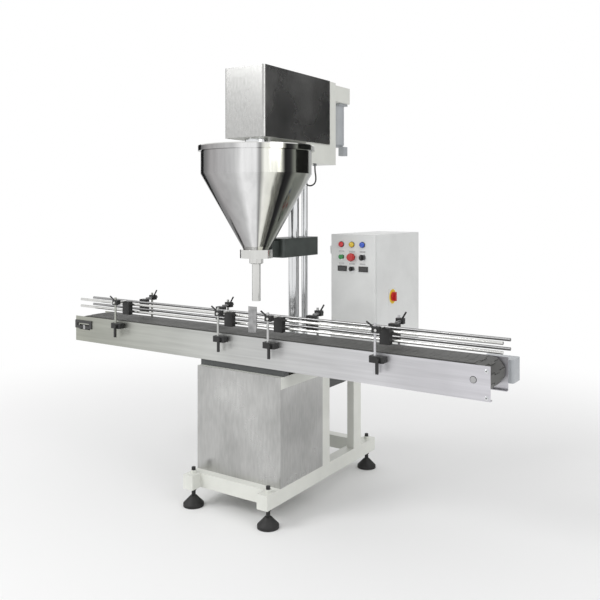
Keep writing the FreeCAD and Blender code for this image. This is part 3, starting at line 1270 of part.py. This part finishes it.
def isolator_switch():
    """The rotary isolator's handle on the box's side."""
    x = "box_left + box_width + isolator_plate_wall + clear_gap"
    skirt = rod("isolator_skirt", (x, "isolator_y", "isolator_height"), "isolator_radius",
                "isolator_depth * 0.5", "X")
    grip = box("isolator_grip", (x, "isolator_y - 7", "isolator_height - isolator_radius * 0.95"),
               ("isolator_depth", "14", "isolator_radius * 1.9"))
    stem = rod("isolator_stem", (f"{x} - stem_reach - 8", "isolator_y", "isolator_height"), "stem_size",
               "stem_reach + 10", "X")
    return fuse("isolator_switch", skirt, grip, stem)


def control_box_bracket():
    """Two arms from the frame's right-hand top tube, each with a riser under the box."""
    made = []
    for name, y in (("front", "bracket_front_y"), ("rear", "bracket_rear_y")):
        arm = box(f"bracket_{name}_arm", (BASE_RIGHT, y, "frame_top - arm_tube"),
                  (f"riser_x + arm_tube - {BASE_RIGHT}", "arm_tube", "arm_tube"))
        riser = box(f"bracket_{name}_riser", ("riser_x", y, "frame_top"),
                    ("arm_tube", "arm_tube", "box_bottom - frame_top"))
        made.append(fuse(f"bracket_{name}", arm, riser))
    return group("control_box_bracket", *made)


# The whole machine


def build():
    """Make every sub-part and return them by name."""
    shaft_stub = 2
    parts = [
        base_frame(), pillar_beam(), pillars(), cabinet_shell(), cabinet_front_panel(),
        conveyor_saddles(), conveyor_side_plates(), conveyor_cross_ties(), wear_strips(),
        slat_chain(), conveyor_bearings(), take_up_plates(), drive_gearmotor(),
        chain_shaft("drive_shaft", 1, shaft_stub, size("gearbox_depth") - 25),
        chain_shaft("tail_shaft", -1, shaft_stub, shaft_stub),
        guide_posts(), guide_clamps(), guide_bars("front"), guide_bars("rear"),
        guide_blocks("front"), guide_blocks("rear"), sensor_bracket(),
        head_cover(), head_block(), head_back_plate(), belt_housing(), auger_motor(),
        pulley("auger_pulley", "lane_y", "auger_shaft_radius", "pulley_bottom", "pulley_bottom + 34"),
        pulley("motor_pulley", "motor_y", "motor_shaft_radius", "cover_top - housing_height - 36",
               "pulley_bottom + 32"),
        drive_belt(), agitator_gearbox(), spindle_housing(), hopper_arm(), hopper(), hopper_lid(),
        lid_hatch(), hopper_collar(), fill_tube(), tube_nut(), level_sensor(), level_cable(),
        auger(), agitator(), control_box_shell(), control_door(), door_instruments(),
        push_button("start_button", "column_1", "button_radius", "button_depth", False),
        push_button("stop_button", "column_2", "stop_radius", "stop_depth", True),
        turn_knob("speed_knob", "column_3", "button_height", "knob_radius", "knob_depth"),
        turn_knob("selector_switch", "column_2", "display_height", "knob_radius * 0.8", "knob_depth"),
        isolator_switch(), control_box_bracket(),
    ]
    left, right = "(base_x - foot_spread / 2)", "(base_x + foot_spread / 2)"
    for name, x, y in (("foot_front_left", left, "foot_front"), ("foot_front_right", right, "foot_front"),
                       ("foot_rear_left", left, "foot_rear"), ("foot_rear_right", right, "foot_rear")):
        parts.append(foot(name, x, y))
    for k, x in enumerate(FRONT_BRACKETS, 1):
        parts.append(clamp_lever(f"clamp_lever_{k}", x))
    return parts


def check(parts):
    """Stop if any feature failed or any sub-part isn't a sound solid."""
    for item in doc.Objects:
        if "Invalid" in item.State or "Error" in item.State:
            sys.exit(f"feature {item.Name} failed: {item.State}")
    for part in parts:
        shape = part.Shape
        if shape.isNull() or not shape.isValid() or not shape.Solids:
            sys.exit(f"sub-part {part.Label} isn't a sound solid")


def write(parts):
    os.makedirs("parts", exist_ok=True)
    for part in parts:
        part.Shape.exportStep(f"parts/{part.Label}.step")
        print(f"{part.Label}: {len(part.Shape.Solids)} solids, {part.Shape.Volume / 1000:.1f} cm3")


PARTS = build()
doc.recompute()
check(PARTS)
write(PARTS)
print(len(PARTS), "sub-parts")
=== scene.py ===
"""Looks for an auger powder filler: materials, small fittings, light and camera.

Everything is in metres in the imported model's own frame: X along the conveyor, Y to the rear, Z up.
"""
import json
import math

import bmesh
import bpy
from mathutils import Matrix, Vector


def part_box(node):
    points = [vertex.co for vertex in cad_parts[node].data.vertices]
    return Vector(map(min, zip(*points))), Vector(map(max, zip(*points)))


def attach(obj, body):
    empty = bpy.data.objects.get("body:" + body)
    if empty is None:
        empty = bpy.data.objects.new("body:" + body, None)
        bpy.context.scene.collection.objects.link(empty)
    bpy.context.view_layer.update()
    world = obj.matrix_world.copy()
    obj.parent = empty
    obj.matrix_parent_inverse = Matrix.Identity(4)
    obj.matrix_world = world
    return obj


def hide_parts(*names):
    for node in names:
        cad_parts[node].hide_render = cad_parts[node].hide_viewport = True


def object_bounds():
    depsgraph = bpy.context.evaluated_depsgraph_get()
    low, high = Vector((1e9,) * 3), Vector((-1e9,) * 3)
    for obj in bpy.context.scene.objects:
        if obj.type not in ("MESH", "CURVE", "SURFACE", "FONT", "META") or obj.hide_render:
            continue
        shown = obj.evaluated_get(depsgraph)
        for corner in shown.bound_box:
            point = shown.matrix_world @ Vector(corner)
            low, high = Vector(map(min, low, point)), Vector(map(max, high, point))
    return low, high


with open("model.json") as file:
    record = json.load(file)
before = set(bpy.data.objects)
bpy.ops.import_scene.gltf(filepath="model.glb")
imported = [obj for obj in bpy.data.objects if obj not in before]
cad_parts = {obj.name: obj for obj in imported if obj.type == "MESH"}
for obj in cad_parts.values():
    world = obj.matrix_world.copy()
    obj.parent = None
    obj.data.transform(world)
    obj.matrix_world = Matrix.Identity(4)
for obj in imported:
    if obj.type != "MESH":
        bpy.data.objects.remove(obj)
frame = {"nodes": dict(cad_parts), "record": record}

CAD_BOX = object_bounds()
NODES = frame["nodes"]


# Materials


def new_material(name, color, metallic, roughness, **sockets):
    """A material with its shader, and the constants that it keeps on the shader's own sockets."""
    material = bpy.data.materials.new(name)
    material.use_nodes = True
    shader = material.node_tree.nodes["Principled BSDF"]
    shader.inputs["Base Color"].default_value = (*color, 1)
    shader.inputs["Metallic"].default_value = metallic
    shader.inputs["Roughness"].default_value = roughness
    for socket, value in sockets.items():
        shader.inputs[socket.replace("_", " ")].default_value = value
    return material, shader


def texture(material, kind, stretch, scale, detail=4.0, **inputs):
    """A noise or other texture on the part's own coordinates, stretched along its grain."""
    nodes, links = material.node_tree.nodes, material.node_tree.links
    where = nodes.new("ShaderNodeTexCoord")
    mapping = nodes.new("ShaderNodeMapping")
    mapping.inputs["Scale"].default_value = stretch
    made = nodes.new(kind)
    made.inputs["Scale"].default_value = scale
    if "Detail" in made.inputs:
        made.inputs["Detail"].default_value = detail
    for socket, value in inputs.items():
        made.inputs[socket].default_value = value
    links.new(where.outputs["Object"], mapping.inputs["Vector"])
    links.new(mapping.outputs["Vector"], made.inputs["Vector"])
    return made.outputs[0]


def ramp(material, source, stops):
    """A colour ramp over a texture. A stop is (place, colour), and a colour may be one grey number."""
    node = material.node_tree.nodes.new("ShaderNodeValToRGB")
    ends = node.color_ramp.elements
    while len(ends) < len(stops):
        ends.new(0.5)
    for element, (spot, color) in zip(ends, stops):
        element.position = spot
        element.color = (*color, 1) if isinstance(color, (tuple, list)) else (color, color, color, 1)
    material.node_tree.links.new(source, node.inputs["Fac"])
    return node.outputs["Color"]


def tinted(color, amount):
    return tuple(min(1.0, part * amount) for part in color)


def blend_colors(material, first, second, factor=1.0, how="MULTIPLY"):
    node = material.node_tree.nodes.new("ShaderNodeMix")
    node.data_type = "RGBA"
    node.blend_type = how
    node.inputs["Factor"].default_value = factor
    material.node_tree.links.new(first, node.inputs["A"])
    material.node_tree.links.new(second, node.inputs["B"])
    return node.outputs["Result"]


def bump(material, shader, source, strength, distance=0.0005):
    node = material.node_tree.nodes.new("ShaderNodeBump")
    node.inputs["Strength"].default_value = strength
    node.inputs["Distance"].default_value = distance
    material.node_tree.links.new(source, node.inputs["Height"])
    material.node_tree.links.new(node.outputs["Normal"], shader.inputs["Normal"])


def link(material, source, socket):
    material.node_tree.links.new(source, socket)


def own_place(material):
    """The X, Y and Z of a point in the part's own coordinates."""
    nodes = material.node_tree.nodes
    where = nodes.new("ShaderNodeTexCoord")
    apart = nodes.new("ShaderNodeSeparateXYZ")
    link(material, where.outputs["Object"], apart.inputs["Vector"])
    return apart.outputs


def math_node(tree, operation, first, second):
    """A Math node over two sockets or numbers."""
    node = tree.nodes.new("ShaderNodeMath")
    node.operation = operation
    for socket, value in zip(node.inputs, (first, second)):
        if isinstance(value, (int, float)):
            socket.default_value = value
        else:
            tree.links.new(value, socket)
    return node.outputs["Value"]


def span(tree, source, ends, first, last):
    """A Map Range node that turns a value between two named ends into 0 to 1, or what they say."""
    node = tree.nodes.new("ShaderNodeMapRange")
    node.inputs[f"{ends} Min"].default_value = first
    node.inputs[f"{ends} Max"].default_value = last
    tree.links.new(source, node.inputs["Value"])
    return node


def seen_or_mirrored(tree):
    """1 for what the camera sees directly or in polished metal, 0 for all other light."""
    rays = tree.nodes.new("ShaderNodeLightPath").outputs
    return math_node(tree, "MAXIMUM", rays["Is Camera Ray"], rays["Is Glossy Ray"])


def brushed(name, color, roughness, grain, patchy=0.25, patch_size=5.0, spread=0.12):
    """Brushed or satin steel: fine grain, with broad paler and darker patches."""
    material, shader = new_material(name, color, 1.0, roughness, Anisotropic=0.4)
    fine = texture(material, "ShaderNodeTexNoise", grain, 90.0, 6.0)
    broad = texture(material, "ShaderNodeTexNoise", (1, 1, 1), patch_size, 3.0)
    low, high = tinted(color, 1 - patchy), tinted(color, 1 + patchy)
    patches = ramp(material, broad, [(0.3, low), (0.7, high)])
    streaks = ramp(material, fine, [(0.3, 0.86), (0.7, 1.0)])
    link(material, blend_colors(material, patches, streaks), shader.inputs["Base Color"])
    dull = ramp(material, broad, [(0.3, roughness + spread), (0.7, roughness - spread / 2)])
    link(material, dull, shader.inputs["Roughness"])
    bump(material, shader, fine, 0.12, 0.0002)
    return material


def polished(name, color, roughness, waves=0.25):
    """Mirror polish with a slight waviness and wipe marks."""
    material, shader = new_material(name, color, 1.0, roughness)
    wipe = texture(material, "ShaderNodeTexNoise", (1, 1, 0.15), 22.0, 5.0)
    link(material, ramp(material, wipe, [(0.35, tinted(color, 0.9)), (0.65, color)]),
         shader.inputs["Base Color"])
    link(material, ramp(material, wipe, [(0.3, roughness), (0.8, roughness + 0.07)]),
         shader.inputs["Roughness"])
    soft = texture(material, "ShaderNodeTexNoise", (1, 1, 0.4), 6.0, 1.0)
    bump(material, shader, soft, waves, 0.002)
    return material


def painted(name, color, roughness=0.4, orange_peel=0.12, dirt=0.08, coat=0.25):
    """Paint or powder coat: fine orange peel, faint grime and a thin gloss coat."""
    material, shader = new_material(name, color, 0.0, roughness, Coat_Weight=coat, Coat_Roughness=0.25)
    grime = texture(material, "ShaderNodeTexNoise", (1, 1, 1), 7.0, 6.0)
    link(material, ramp(material, grime, [(0.3, tinted(color, 1 - dirt)), (0.6, color)]),
         shader.inputs["Base Color"])
    link(material, ramp(material, grime, [(0.3, roughness + 0.1), (0.7, roughness)]),
         shader.inputs["Roughness"])
    peel = texture(material, "ShaderNodeTexNoise", (1, 1, 1), 350.0, 2.0)
    bump(material, shader, peel, orange_peel, 0.0004)
    return material


def moulded(name, color, roughness=0.45, grain=0.2, scale=600.0, coat=0.0):
    """Moulded plastic or rubber with a fine grain."""
    material, shader = new_material(name, color, 0.0, roughness, Coat_Weight=coat)
    dust = texture(material, "ShaderNodeTexNoise", (1, 1, 1), 14.0, 5.0)
    lighter = tuple(part + 0.02 for part in color)
    link(material, ramp(material, dust, [(0.45, color), (0.8, lighter)]), shader.inputs["Base Color"])
    link(material, ramp(material, dust, [(0.3, roughness), (0.8, roughness + 0.15)]),
         shader.inputs["Roughness"])
    bump(material, shader, texture(material, "ShaderNodeTexNoise", (1, 1, 1), scale, 2.0), grain, 0.0003)
    return material


def cast(name, color, roughness=0.5):
    """Hammered paint over a rough casting."""
    material, shader = new_material(name, color, 0.2, roughness, Coat_Weight=0.3, Coat_Roughness=0.3)
    cells = texture(material, "ShaderNodeTexVoronoi", (1, 1, 1), 160.0)
    tone = texture(material, "ShaderNodeTexNoise", (1, 1, 1), 12.0, 4.0)
    link(material, ramp(material, tone, [(0.3, tinted(color, 0.8)), (0.7, tinted(color, 1.3))]),
         shader.inputs["Base Color"])
    bump(material, shader, cells, 0.35, 0.0008)
    return material


def turned_polish(name, middle, bands):
    """Mirror polish of a spun vessel, with broad upright bands of painted reflection, dark and bright,
    painted round its axis.
    """
    material, shader = new_material(name, (0.8, 0.8, 0.78), 1.0, 0.1)
    tree = material.node_tree
    place = own_place(material)
    x, y = [math_node(tree, "SUBTRACT", place[letter], offset) for letter, offset in zip("XY", middle)]
    angle = math_node(tree, "ARCTAN2", y, x)
    turn = span(tree, angle, "From", -math.pi, math.pi).outputs["Result"]
    # The bands are painted reflection: dark and bright stops round the axis stand in for the surroundings
    # that the mirror shows.
    painted_reflection_bands = ramp(material, turn, bands)
    wipe = texture(material, "ShaderNodeTexNoise", (1, 1, 0.12), 30.0, 5.0)
    marks = ramp(material, wipe, [(0.35, 0.88), (0.6, 1.0)])
    link(material, blend_colors(material, painted_reflection_bands, marks), shader.inputs["Base Color"])
    link(material, ramp(material, wipe, [(0.3, 0.08), (0.8, 0.2)]), shader.inputs["Roughness"])
    return material


def lengthwise(name, stops, low, high):
    """Satin steel with painted reflection and shade whose tone drifts along X between two ends."""
    material = brushed(name, (0.9, 0.9, 0.9), 0.36, ALONG_X, 0.07, 2.5)
    tree = material.node_tree
    shader = tree.nodes["Principled BSDF"]
    along = span(tree, own_place(material)["X"], "From", low, high).outputs["Result"]
    # This ramp is painted reflection and shade, laid over the steel's own colour.
    tone = ramp(material, along, stops)
    before = shader.inputs["Base Color"].links[0].from_socket
    link(material, blend_colors(material, before, tone), shader.inputs["Base Color"])
    return material


ALONG_X, ALONG_Z = (0.03, 1, 1), (1, 1, 0.03)
HOPPER_LOW, HOPPER_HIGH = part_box("hopper")
HOPPER_AXIS = ((HOPPER_LOW.x + HOPPER_HIGH.x) / 2, (HOPPER_LOW.y + HOPPER_HIGH.y) / 2)
# Painted reflection: near-black and bright stops round the hopper's axis stand in for what its mirror
# polish reflects.
HOPPER_PAINTED_REFLECTIONS = [
    (0.0, 0.55), (0.09, 0.30), (0.13, 0.02), (0.17, 0.05), (0.21, (0.36, 0.35, 0.35)), (0.29, 0.52),
    (0.315, 0.85), (0.352, 0.80), (0.362, 0.22), (0.375, (0.90, 0.90, 0.84)), (0.418, (0.86, 0.86, 0.76)),
    (0.432, 0.015), (0.452, 0.03), (0.468, (0.22, 0.23, 0.20)), (0.53, (0.30, 0.31, 0.28)),
    (0.56, (0.10, 0.11, 0.10)), (0.62, 0.45), (0.70, 0.75), (0.78, 0.25), (0.80, 0.04), (0.84, 0.35),
    (0.92, 0.7),
]
# Painted reflection and shade along X on the conveyor's steel: olive-grey at the left end to pale
# lavender at the right.
PLATE_PAINTED_REFLECTION = [(0.0, (0.46, 0.47, 0.41)), (0.35, (0.60, 0.61, 0.58)), (0.7, (0.70, 0.70, 0.71)),
               (1.0, (0.76, 0.75, 0.79))]

MATERIALS = {
    "frame_white": painted("ivory_paint", (0.76, 0.77, 0.72), 0.38),
    # Painted shade: near-black paint on the beam under the head stands in for the shade it sits in.
    "beam_dark": painted("beam_painted_shade", (0.07, 0.075, 0.075), 0.45),
    "chrome_bar": polished("chromed_bar", (0.78, 0.79, 0.80), 0.10, 0.05),
    "brushed": brushed("brushed_stainless", (0.50, 0.50, 0.49), 0.30, (1, 1, 0.2), 0.16, 3.5),
    "polished": polished("mirror_stainless", (0.70, 0.70, 0.68), 0.09),
    # The conveyor's steel carries painted reflection and shade that drift along X.
    "conveyor_steel": lengthwise("satin_stainless_painted_reflection", PLATE_PAINTED_REFLECTION, CAD_BOX[0][0], CAD_BOX[1][0]),
    "slat_steel": moulded("worn_acetal", (0.10, 0.10, 0.095), 0.5),
    "strip_plastic": moulded("white_plastic", (0.75, 0.76, 0.74), 0.4),
    "clamp_black": moulded("black_nylon", (0.012, 0.012, 0.012), 0.42),
    "bearing_dark": cast("dark_casting", (0.03, 0.03, 0.03)),
    "motor_grey": painted("grey_enamel", (0.42, 0.44, 0.46), 0.4),
    "machine_steel": brushed("turned_steel", (0.50, 0.50, 0.50), 0.32, ALONG_Z, 0.08, 9.0),
    "arm_green": cast("hammered_green", (0.045, 0.055, 0.05)),
    "box_white": painted("white_powder_coat", (0.80, 0.81, 0.80), 0.35),
    "instrument": moulded("display_plastic", (0.02, 0.02, 0.02), 0.2, 0.02, 300.0, 0.6),
    "button_green": moulded("green_plastic", (0.01, 0.25, 0.05), 0.25, 0.02, 300.0, 0.5),
    "button_red": moulded("red_plastic", (0.55, 0.012, 0.015), 0.25, 0.02, 300.0, 0.5),
    "knob_black": moulded("black_knob", (0.012, 0.012, 0.012), 0.3, 0.05, 300.0, 0.3),
    "pad_rubber": moulded("black_rubber", (0.010, 0.010, 0.010), 0.55),
    "belt_rubber": moulded("belt_rubber", (0.02, 0.02, 0.02), 0.6),
    "cable_black": moulded("cable_sheath", (0.02, 0.02, 0.02), 0.4),
    "sensor_grey": moulded("sensor_housing", (0.20, 0.21, 0.22), 0.5),
}

OWN_LOOKS = {
    # The hopper's colour carries bands of painted reflection.
    "hopper": turned_polish("hopper_painted_reflection", HOPPER_AXIS, HOPPER_PAINTED_REFLECTIONS),
    "head_cover": brushed("cover_stainless", (0.50, 0.50, 0.49), 0.24, (1, 1, 0.5), 0.10, 3.0),
    # Painted shade and painted dark reflection: the rear rails get a darker copy of the rail steel.
    "rear_guide_bars": brushed("rear_rail_painted_shade", (0.35, 0.35, 0.35), 0.3, ALONG_X, 0.1, 9.0),
    "sensor_bracket": brushed("bracket_steel", (0.42, 0.42, 0.42), 0.4, (1, 1, 1), 0.2, 40.0),
}

for row in frame["record"]["subparts"]:
    node = NODES[row["node"]]
    node.data.materials.clear()
    node.data.materials.append(OWN_LOOKS.get(row["node"], MATERIALS[row["material_slot"]]))


# Small fittings, each a mesh of its own that rides with the body under it


def turn_to(axis):
    return Vector((0, 0, 1)).rotation_difference(Vector(axis)).to_matrix().to_4x4()


def fitting(name, shape, body, material, bevel=0.0005):
    """Turn a bmesh into a piece with softened edges that rides on a body."""
    mesh = bpy.data.meshes.new(name)
    shape.to_mesh(mesh)
    shape.free()
    mesh.materials.append(material)
    piece = bpy.data.objects.new(name, mesh)
    bpy.context.collection.objects.link(piece)
    if bevel:
        soften = piece.modifiers.new("soften", "BEVEL")
        soften.width = bevel
        soften.segments = 2
        soften.limit_method = "ANGLE"
    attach(piece, body)
    return piece


def add_round(shape, place, axis, radius, height, sides=24):
    """A disc or washer whose base stands at a place."""
    matrix = Matrix.Translation(place) @ turn_to(axis) @ Matrix.Translation((0, 0, height / 2))
    bmesh.ops.create_cone(shape, cap_ends=True, segments=sides, radius1=radius,
                          radius2=radius, depth=height, matrix=matrix)


def add_dome(shape, place, axis, radius, height):
    """A low dome that stands on a place."""
    matrix = Matrix.Translation(place) @ turn_to(axis) @ Matrix.Diagonal((1, 1, height / radius, 1))
    made = bmesh.ops.create_uvsphere(shape, u_segments=24, v_segments=12, radius=radius, matrix=matrix)
    away = Vector(axis)
    below = [v for v in made["verts"] if (v.co - Vector(place)).dot(away) < -1e-6]
    bmesh.ops.delete(shape, geom=below, context="VERTS")


def add_block(shape, low, high):
    low, high = Vector(low), Vector(high)
    size = high - low
    matrix = Matrix.Translation((low + high) / 2) @ Matrix.Diagonal((*size, 1))
    bmesh.ops.create_cube(shape, size=1.0, matrix=matrix)


def bolts(name, places, axis, radius, body, slot):
    """Socket-head bolts, each with its washer and a sunken hexagon."""
    shape = bmesh.new()
    for place in places:
        add_round(shape, place, axis, radius * 1.5, radius * 0.25)
        head = Vector(place) + Vector(axis) * radius * 0.25
        add_round(shape, head, axis, radius, radius * 0.8)
    fitting(name, shape, body, MATERIALS[slot])
    sockets = bmesh.new()
    for place in places:
        face = Vector(place) + Vector(axis) * radius * 1.02
        add_round(sockets, face, axis, radius * 0.5, radius * 0.06, 6)
    fitting(f"{name}_sockets", sockets, body, MATERIALS["clamp_black"], 0)


def lamp(name, place, color):
    """A domed indicator lens in its bezel, on the door's face."""
    bezel = bmesh.new()
    add_round(bezel, place, FORWARD, LAMP_RADIUS * 1.15, BEZEL_DEPTH, 32)
    fitting(f"{name}_bezel", bezel, "control_door", MATERIALS["knob_black"], 0.0008)
    lens = bmesh.new()
    front = Vector(place) + Vector(FORWARD) * BEZEL_DEPTH
    add_round(lens, front, FORWARD, LAMP_RADIUS, LENS_DEPTH, 32)
    add_dome(lens, front + Vector(FORWARD) * LENS_DEPTH, FORWARD, LAMP_RADIUS, 0.004)
    glow, shader = new_material(f"{name}_lens", color, 0.0, 0.15, Coat_Weight=0.8, Coat_Roughness=0.05)
    ribs = texture(glow, "ShaderNodeTexWave", (1, 1, 1), 120.0, 0.0)
    bump(glow, shader, ribs, 0.3, 0.0005)
    tone = ramp(glow, ribs, [(0.0, tinted(color, 0.75)), (1.0, color)])
    link(glow, tone, shader.inputs["Base Color"])
    fitting(name, lens, "control_door", glow, 0)


def door_face():
    """What the door's face shows: three lamps, two displays, blank legend strips and switch rings."""
    low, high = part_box("control_door")
    left, top, face = high.x - BOX_WIDTH, high.z, low.y
    columns = [left + step for step in COLUMN_STEPS]
    for k, (x, color) in enumerate(zip(columns, LAMP_COLORS)):
        lamp(f"lamp_{k}", Vector((x, face, top - LAMP_DROP)), color)
    dark = bmesh.new()
    glass = bmesh.new()
    z = top - DISPLAY_DROP
    for x in (columns[0] + 0.005, columns[2] + 0.005):
        add_block(dark, (x - 0.026, face - 0.004, z - 0.0135), (x + 0.026, face, z + 0.0135))
        add_block(glass, (x - 0.021, face - 0.0046, z - 0.009), (x + 0.021, face - 0.0035, z + 0.009))
    displays = fitting("displays", dark, "control_door", MATERIALS["knob_black"], 0.001)
    fitting("display_glass", glass, "control_door", MATERIALS["instrument"], 0.0003)
    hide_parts("door_instruments")
    strips = bmesh.new()
    for x in columns:
        for drop in STRIP_DROPS:
            add_block(strips, (x - 0.016, face - 0.0006, top - drop - 0.004),
                      (x + 0.016, face, top - drop + 0.004))
    fitting("legend_strips", strips, "control_door", MATERIALS["machine_steel"], 0.0002)
    rings = bmesh.new()
    for x, drop, reach in ((columns[0], BUTTON_DROP, 0.015), (columns[1], BUTTON_DROP, 0.018),
                           (columns[2], BUTTON_DROP, 0.018), (columns[1], DISPLAY_DROP, 0.015)):
        add_round(rings, (x, face, top - drop), FORWARD, reach, 0.0004, 32)
    fitting("switch_rings", rings, "control_door", MATERIALS["chrome_bar"], 0)


FORWARD, RIGHTWARD = (0, -1, 0), (1, 0, 0)
BOX_WIDTH = 0.249
COLUMN_STEPS = (0.061, 0.121, 0.181)
LAMP_DROP, BUTTON_DROP, DISPLAY_DROP = 0.050, 0.113, 0.171
STRIP_DROPS = (0.085, 0.146)
LAMP_RADIUS, BEZEL_DEPTH, LENS_DEPTH = 0.013, 0.004, 0.006
LAMP_COLORS = [(0.75, 0.01, 0.02), (0.9, 0.62, 0.02), (0.02, 0.10, 0.65)]
door_face()


def sensor_cable():
    """The level sensor's lead, a loop that hangs between the gland in the head's block and the sensor."""
    line = bpy.data.curves.new("sensor_cable", "CURVE")
    line.dimensions = "3D"
    line.bevel_depth = CABLE_DIAMETER / 2
    line.bevel_resolution = 6
    line.resolution_u = 24
    line.use_fill_caps = True
    spline = line.splines.new("NURBS")
    spline.points.add(len(CABLE_ROUTE) - 1)
    for point, place in zip(spline.points, CABLE_ROUTE):
        point.co = (*place, 1)
    spline.order_u = 3
    spline.use_endpoint_u = True
    row = next(row for row in frame["record"]["subparts"] if row["node"] == "level_cable")
    line.materials.append(MATERIALS[row["material_slot"]])
    cable = bpy.data.objects.new("sensor_cable", line)
    bpy.context.collection.objects.link(cable)
    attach(cable, "head")
    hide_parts("level_cable")


CABLE_DIAMETER = 0.008
CABLE_ROUTE = [
    (0.088, 0.125, 1.692), (0.088, 0.125, 1.664), (0.097, 0.121, 1.634), (0.097, 0.118, 1.604),
    (0.080, 0.1132, 1.587), (0.056, 0.1092, 1.586), (0.039, 0.1052, 1.603), (0.038, 0.0982, 1.626),
    (0.039, 0.0822, 1.645), (0.040, 0.0612, 1.652), (0.040, 0.0442, 1.652),
]
sensor_cable()


def isolator_backing():
    """The yellow disc behind the red isolator handle."""
    low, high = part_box("isolator_switch")
    shape = bmesh.new()
    place = (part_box("control_box_shell")[1].x - 0.0002, (low.y + high.y) / 2, (low.z + high.z) / 2)
    add_round(shape, place, RIGHTWARD, 0.037, 0.0009, 48)
    yellow = painted("isolator_yellow", (0.85, 0.62, 0.03), 0.4)
    fitting("isolator_disc", shape, "machine", yellow, 0.0003)


isolator_backing()
PLATE_FACE_Y, PLATE_BOLT_X, PLATE_BOLT_HEIGHTS = -0.373, 1.205, (0.830, 0.724)
bolts("take_up_bolts", [(PLATE_BOLT_X, PLATE_FACE_Y, z) for z in PLATE_BOLT_HEIGHTS], FORWARD, 0.006,
      "machine", "chrome_bar")


# Floor, light and camera


def stage_plane(name, corners, material):
    mesh = bpy.data.meshes.new(name)
    mesh.from_pydata(corners, [], [(0, 1, 2, 3)])
    mesh.materials.append(material)
    plane = bpy.data.objects.new(name, mesh)
    bpy.context.collection.objects.link(plane)
    return plane


def stage_floor():
    """A pale floor that keeps the object's shadow and fades into the white background."""
    material, shader = new_material("floor_paper", (0.93, 0.93, 0.93), 0.0, 0.8)
    tree = material.node_tree
    where = tree.nodes.new("ShaderNodeTexCoord")
    away = tree.nodes.new("ShaderNodeVectorMath")
    away.operation = "LENGTH"
    tree.links.new(where.outputs["Object"], away.inputs[0])
    fade = span(tree, away.outputs["Value"], "From", FADE_START, FADE_END)
    fade.interpolation_type = "SMOOTHSTEP"
    amount = math_node(tree, "MULTIPLY", fade.outputs["Result"], seen_or_mirrored(tree))
    white = tree.nodes.new("ShaderNodeEmission")
    mixed = tree.nodes.new("ShaderNodeMixShader")
    tree.links.new(amount, mixed.inputs["Fac"])
    tree.links.new(shader.outputs["BSDF"], mixed.inputs[1])
    tree.links.new(white.outputs["Emission"], mixed.inputs[2])
    tree.links.new(mixed.outputs["Shader"], tree.nodes["Material Output"].inputs["Surface"])
    corners = [(-FLOOR_REACH, -FLOOR_REACH, 0), (FLOOR_REACH, -FLOOR_REACH, 0),
               (FLOOR_REACH, FLOOR_REACH, 0), (-FLOOR_REACH, FLOOR_REACH, 0)]
    stage_plane("floor", corners, material)


def dark_card(name, middle, width, height):
    """A dark studio card that faces the object and shows only in its polished metal."""
    material, _ = new_material(name, (0.02, 0.02, 0.02), 0.0, 0.9)
    middle = Vector(middle)
    across = Vector((-middle.y, middle.x, 0)).normalized() * width / 2
    up = Vector((0, 0, height / 2))
    corners = [middle - across - up, middle + across - up, middle + across + up, middle - across + up]
    card = stage_plane(name, corners, material)
    card.visible_camera = False
    card.visible_diffuse = False
    card.visible_shadow = False


def area_light(name, place, aim, width, height, power):
    lamp = bpy.data.lights.new(name, "AREA")
    lamp.shape = "RECTANGLE"
    lamp.size, lamp.size_y = width, height
    lamp.energy = power
    light = bpy.data.objects.new(name, lamp)
    light.location = place
    light.rotation_euler = (Vector(aim) - Vector(place)).to_track_quat("-Z", "Y").to_euler()
    bpy.context.collection.objects.link(light)


def world_light():
    """White for the camera and in reflections, plain ambient light for everything else."""
    world = bpy.data.worlds.new("studio")
    bpy.context.scene.world = world
    world.use_nodes = True
    tree = world.node_tree
    background = tree.nodes["Background"]
    background.inputs["Color"].default_value = (1, 1, 1, 1)
    strength = span(tree, seen_or_mirrored(tree), "To", AMBIENT, 1.0)
    tree.links.new(strength.outputs["Result"], background.inputs["Strength"])


def camera():
    """A level camera in front of the discharge end."""
    data = bpy.data.cameras.new("camera")
    data.lens = 44.48
    data.sensor_width = 36.0
    data.shift_y = -0.158
    data.clip_end = 100.0
    made = bpy.data.objects.new("camera", data)
    made.location = (2.2077, -3.2044, 1.4827)
    made.rotation_euler = (math.radians(90), 0, math.radians(33.637))
    bpy.context.collection.objects.link(made)
    bpy.context.scene.camera = made


AMBIENT = 0.72
FADE_START, FADE_END, FLOOR_REACH = 1.2, 4.0, 30.0

camera()
stage_floor()
world_light()
area_light("key", (-2.5, -4.5, 4.5), (0, 0, 1.0), 2.5, 2.5, 130)
area_light("fill", (5.0, -1.5, 3.5), (0, 0, 1.0), 2.5, 3.0, 50)
dark_card("card_rear_right", (3.0, 4.4, 1.6), 5.0, 5.0)
dark_card("card_rear_left", (-5.2, 1.6, 1.6), 2.4, 4.0)
bpy.context.scene.view_settings.view_transform = "Standard"
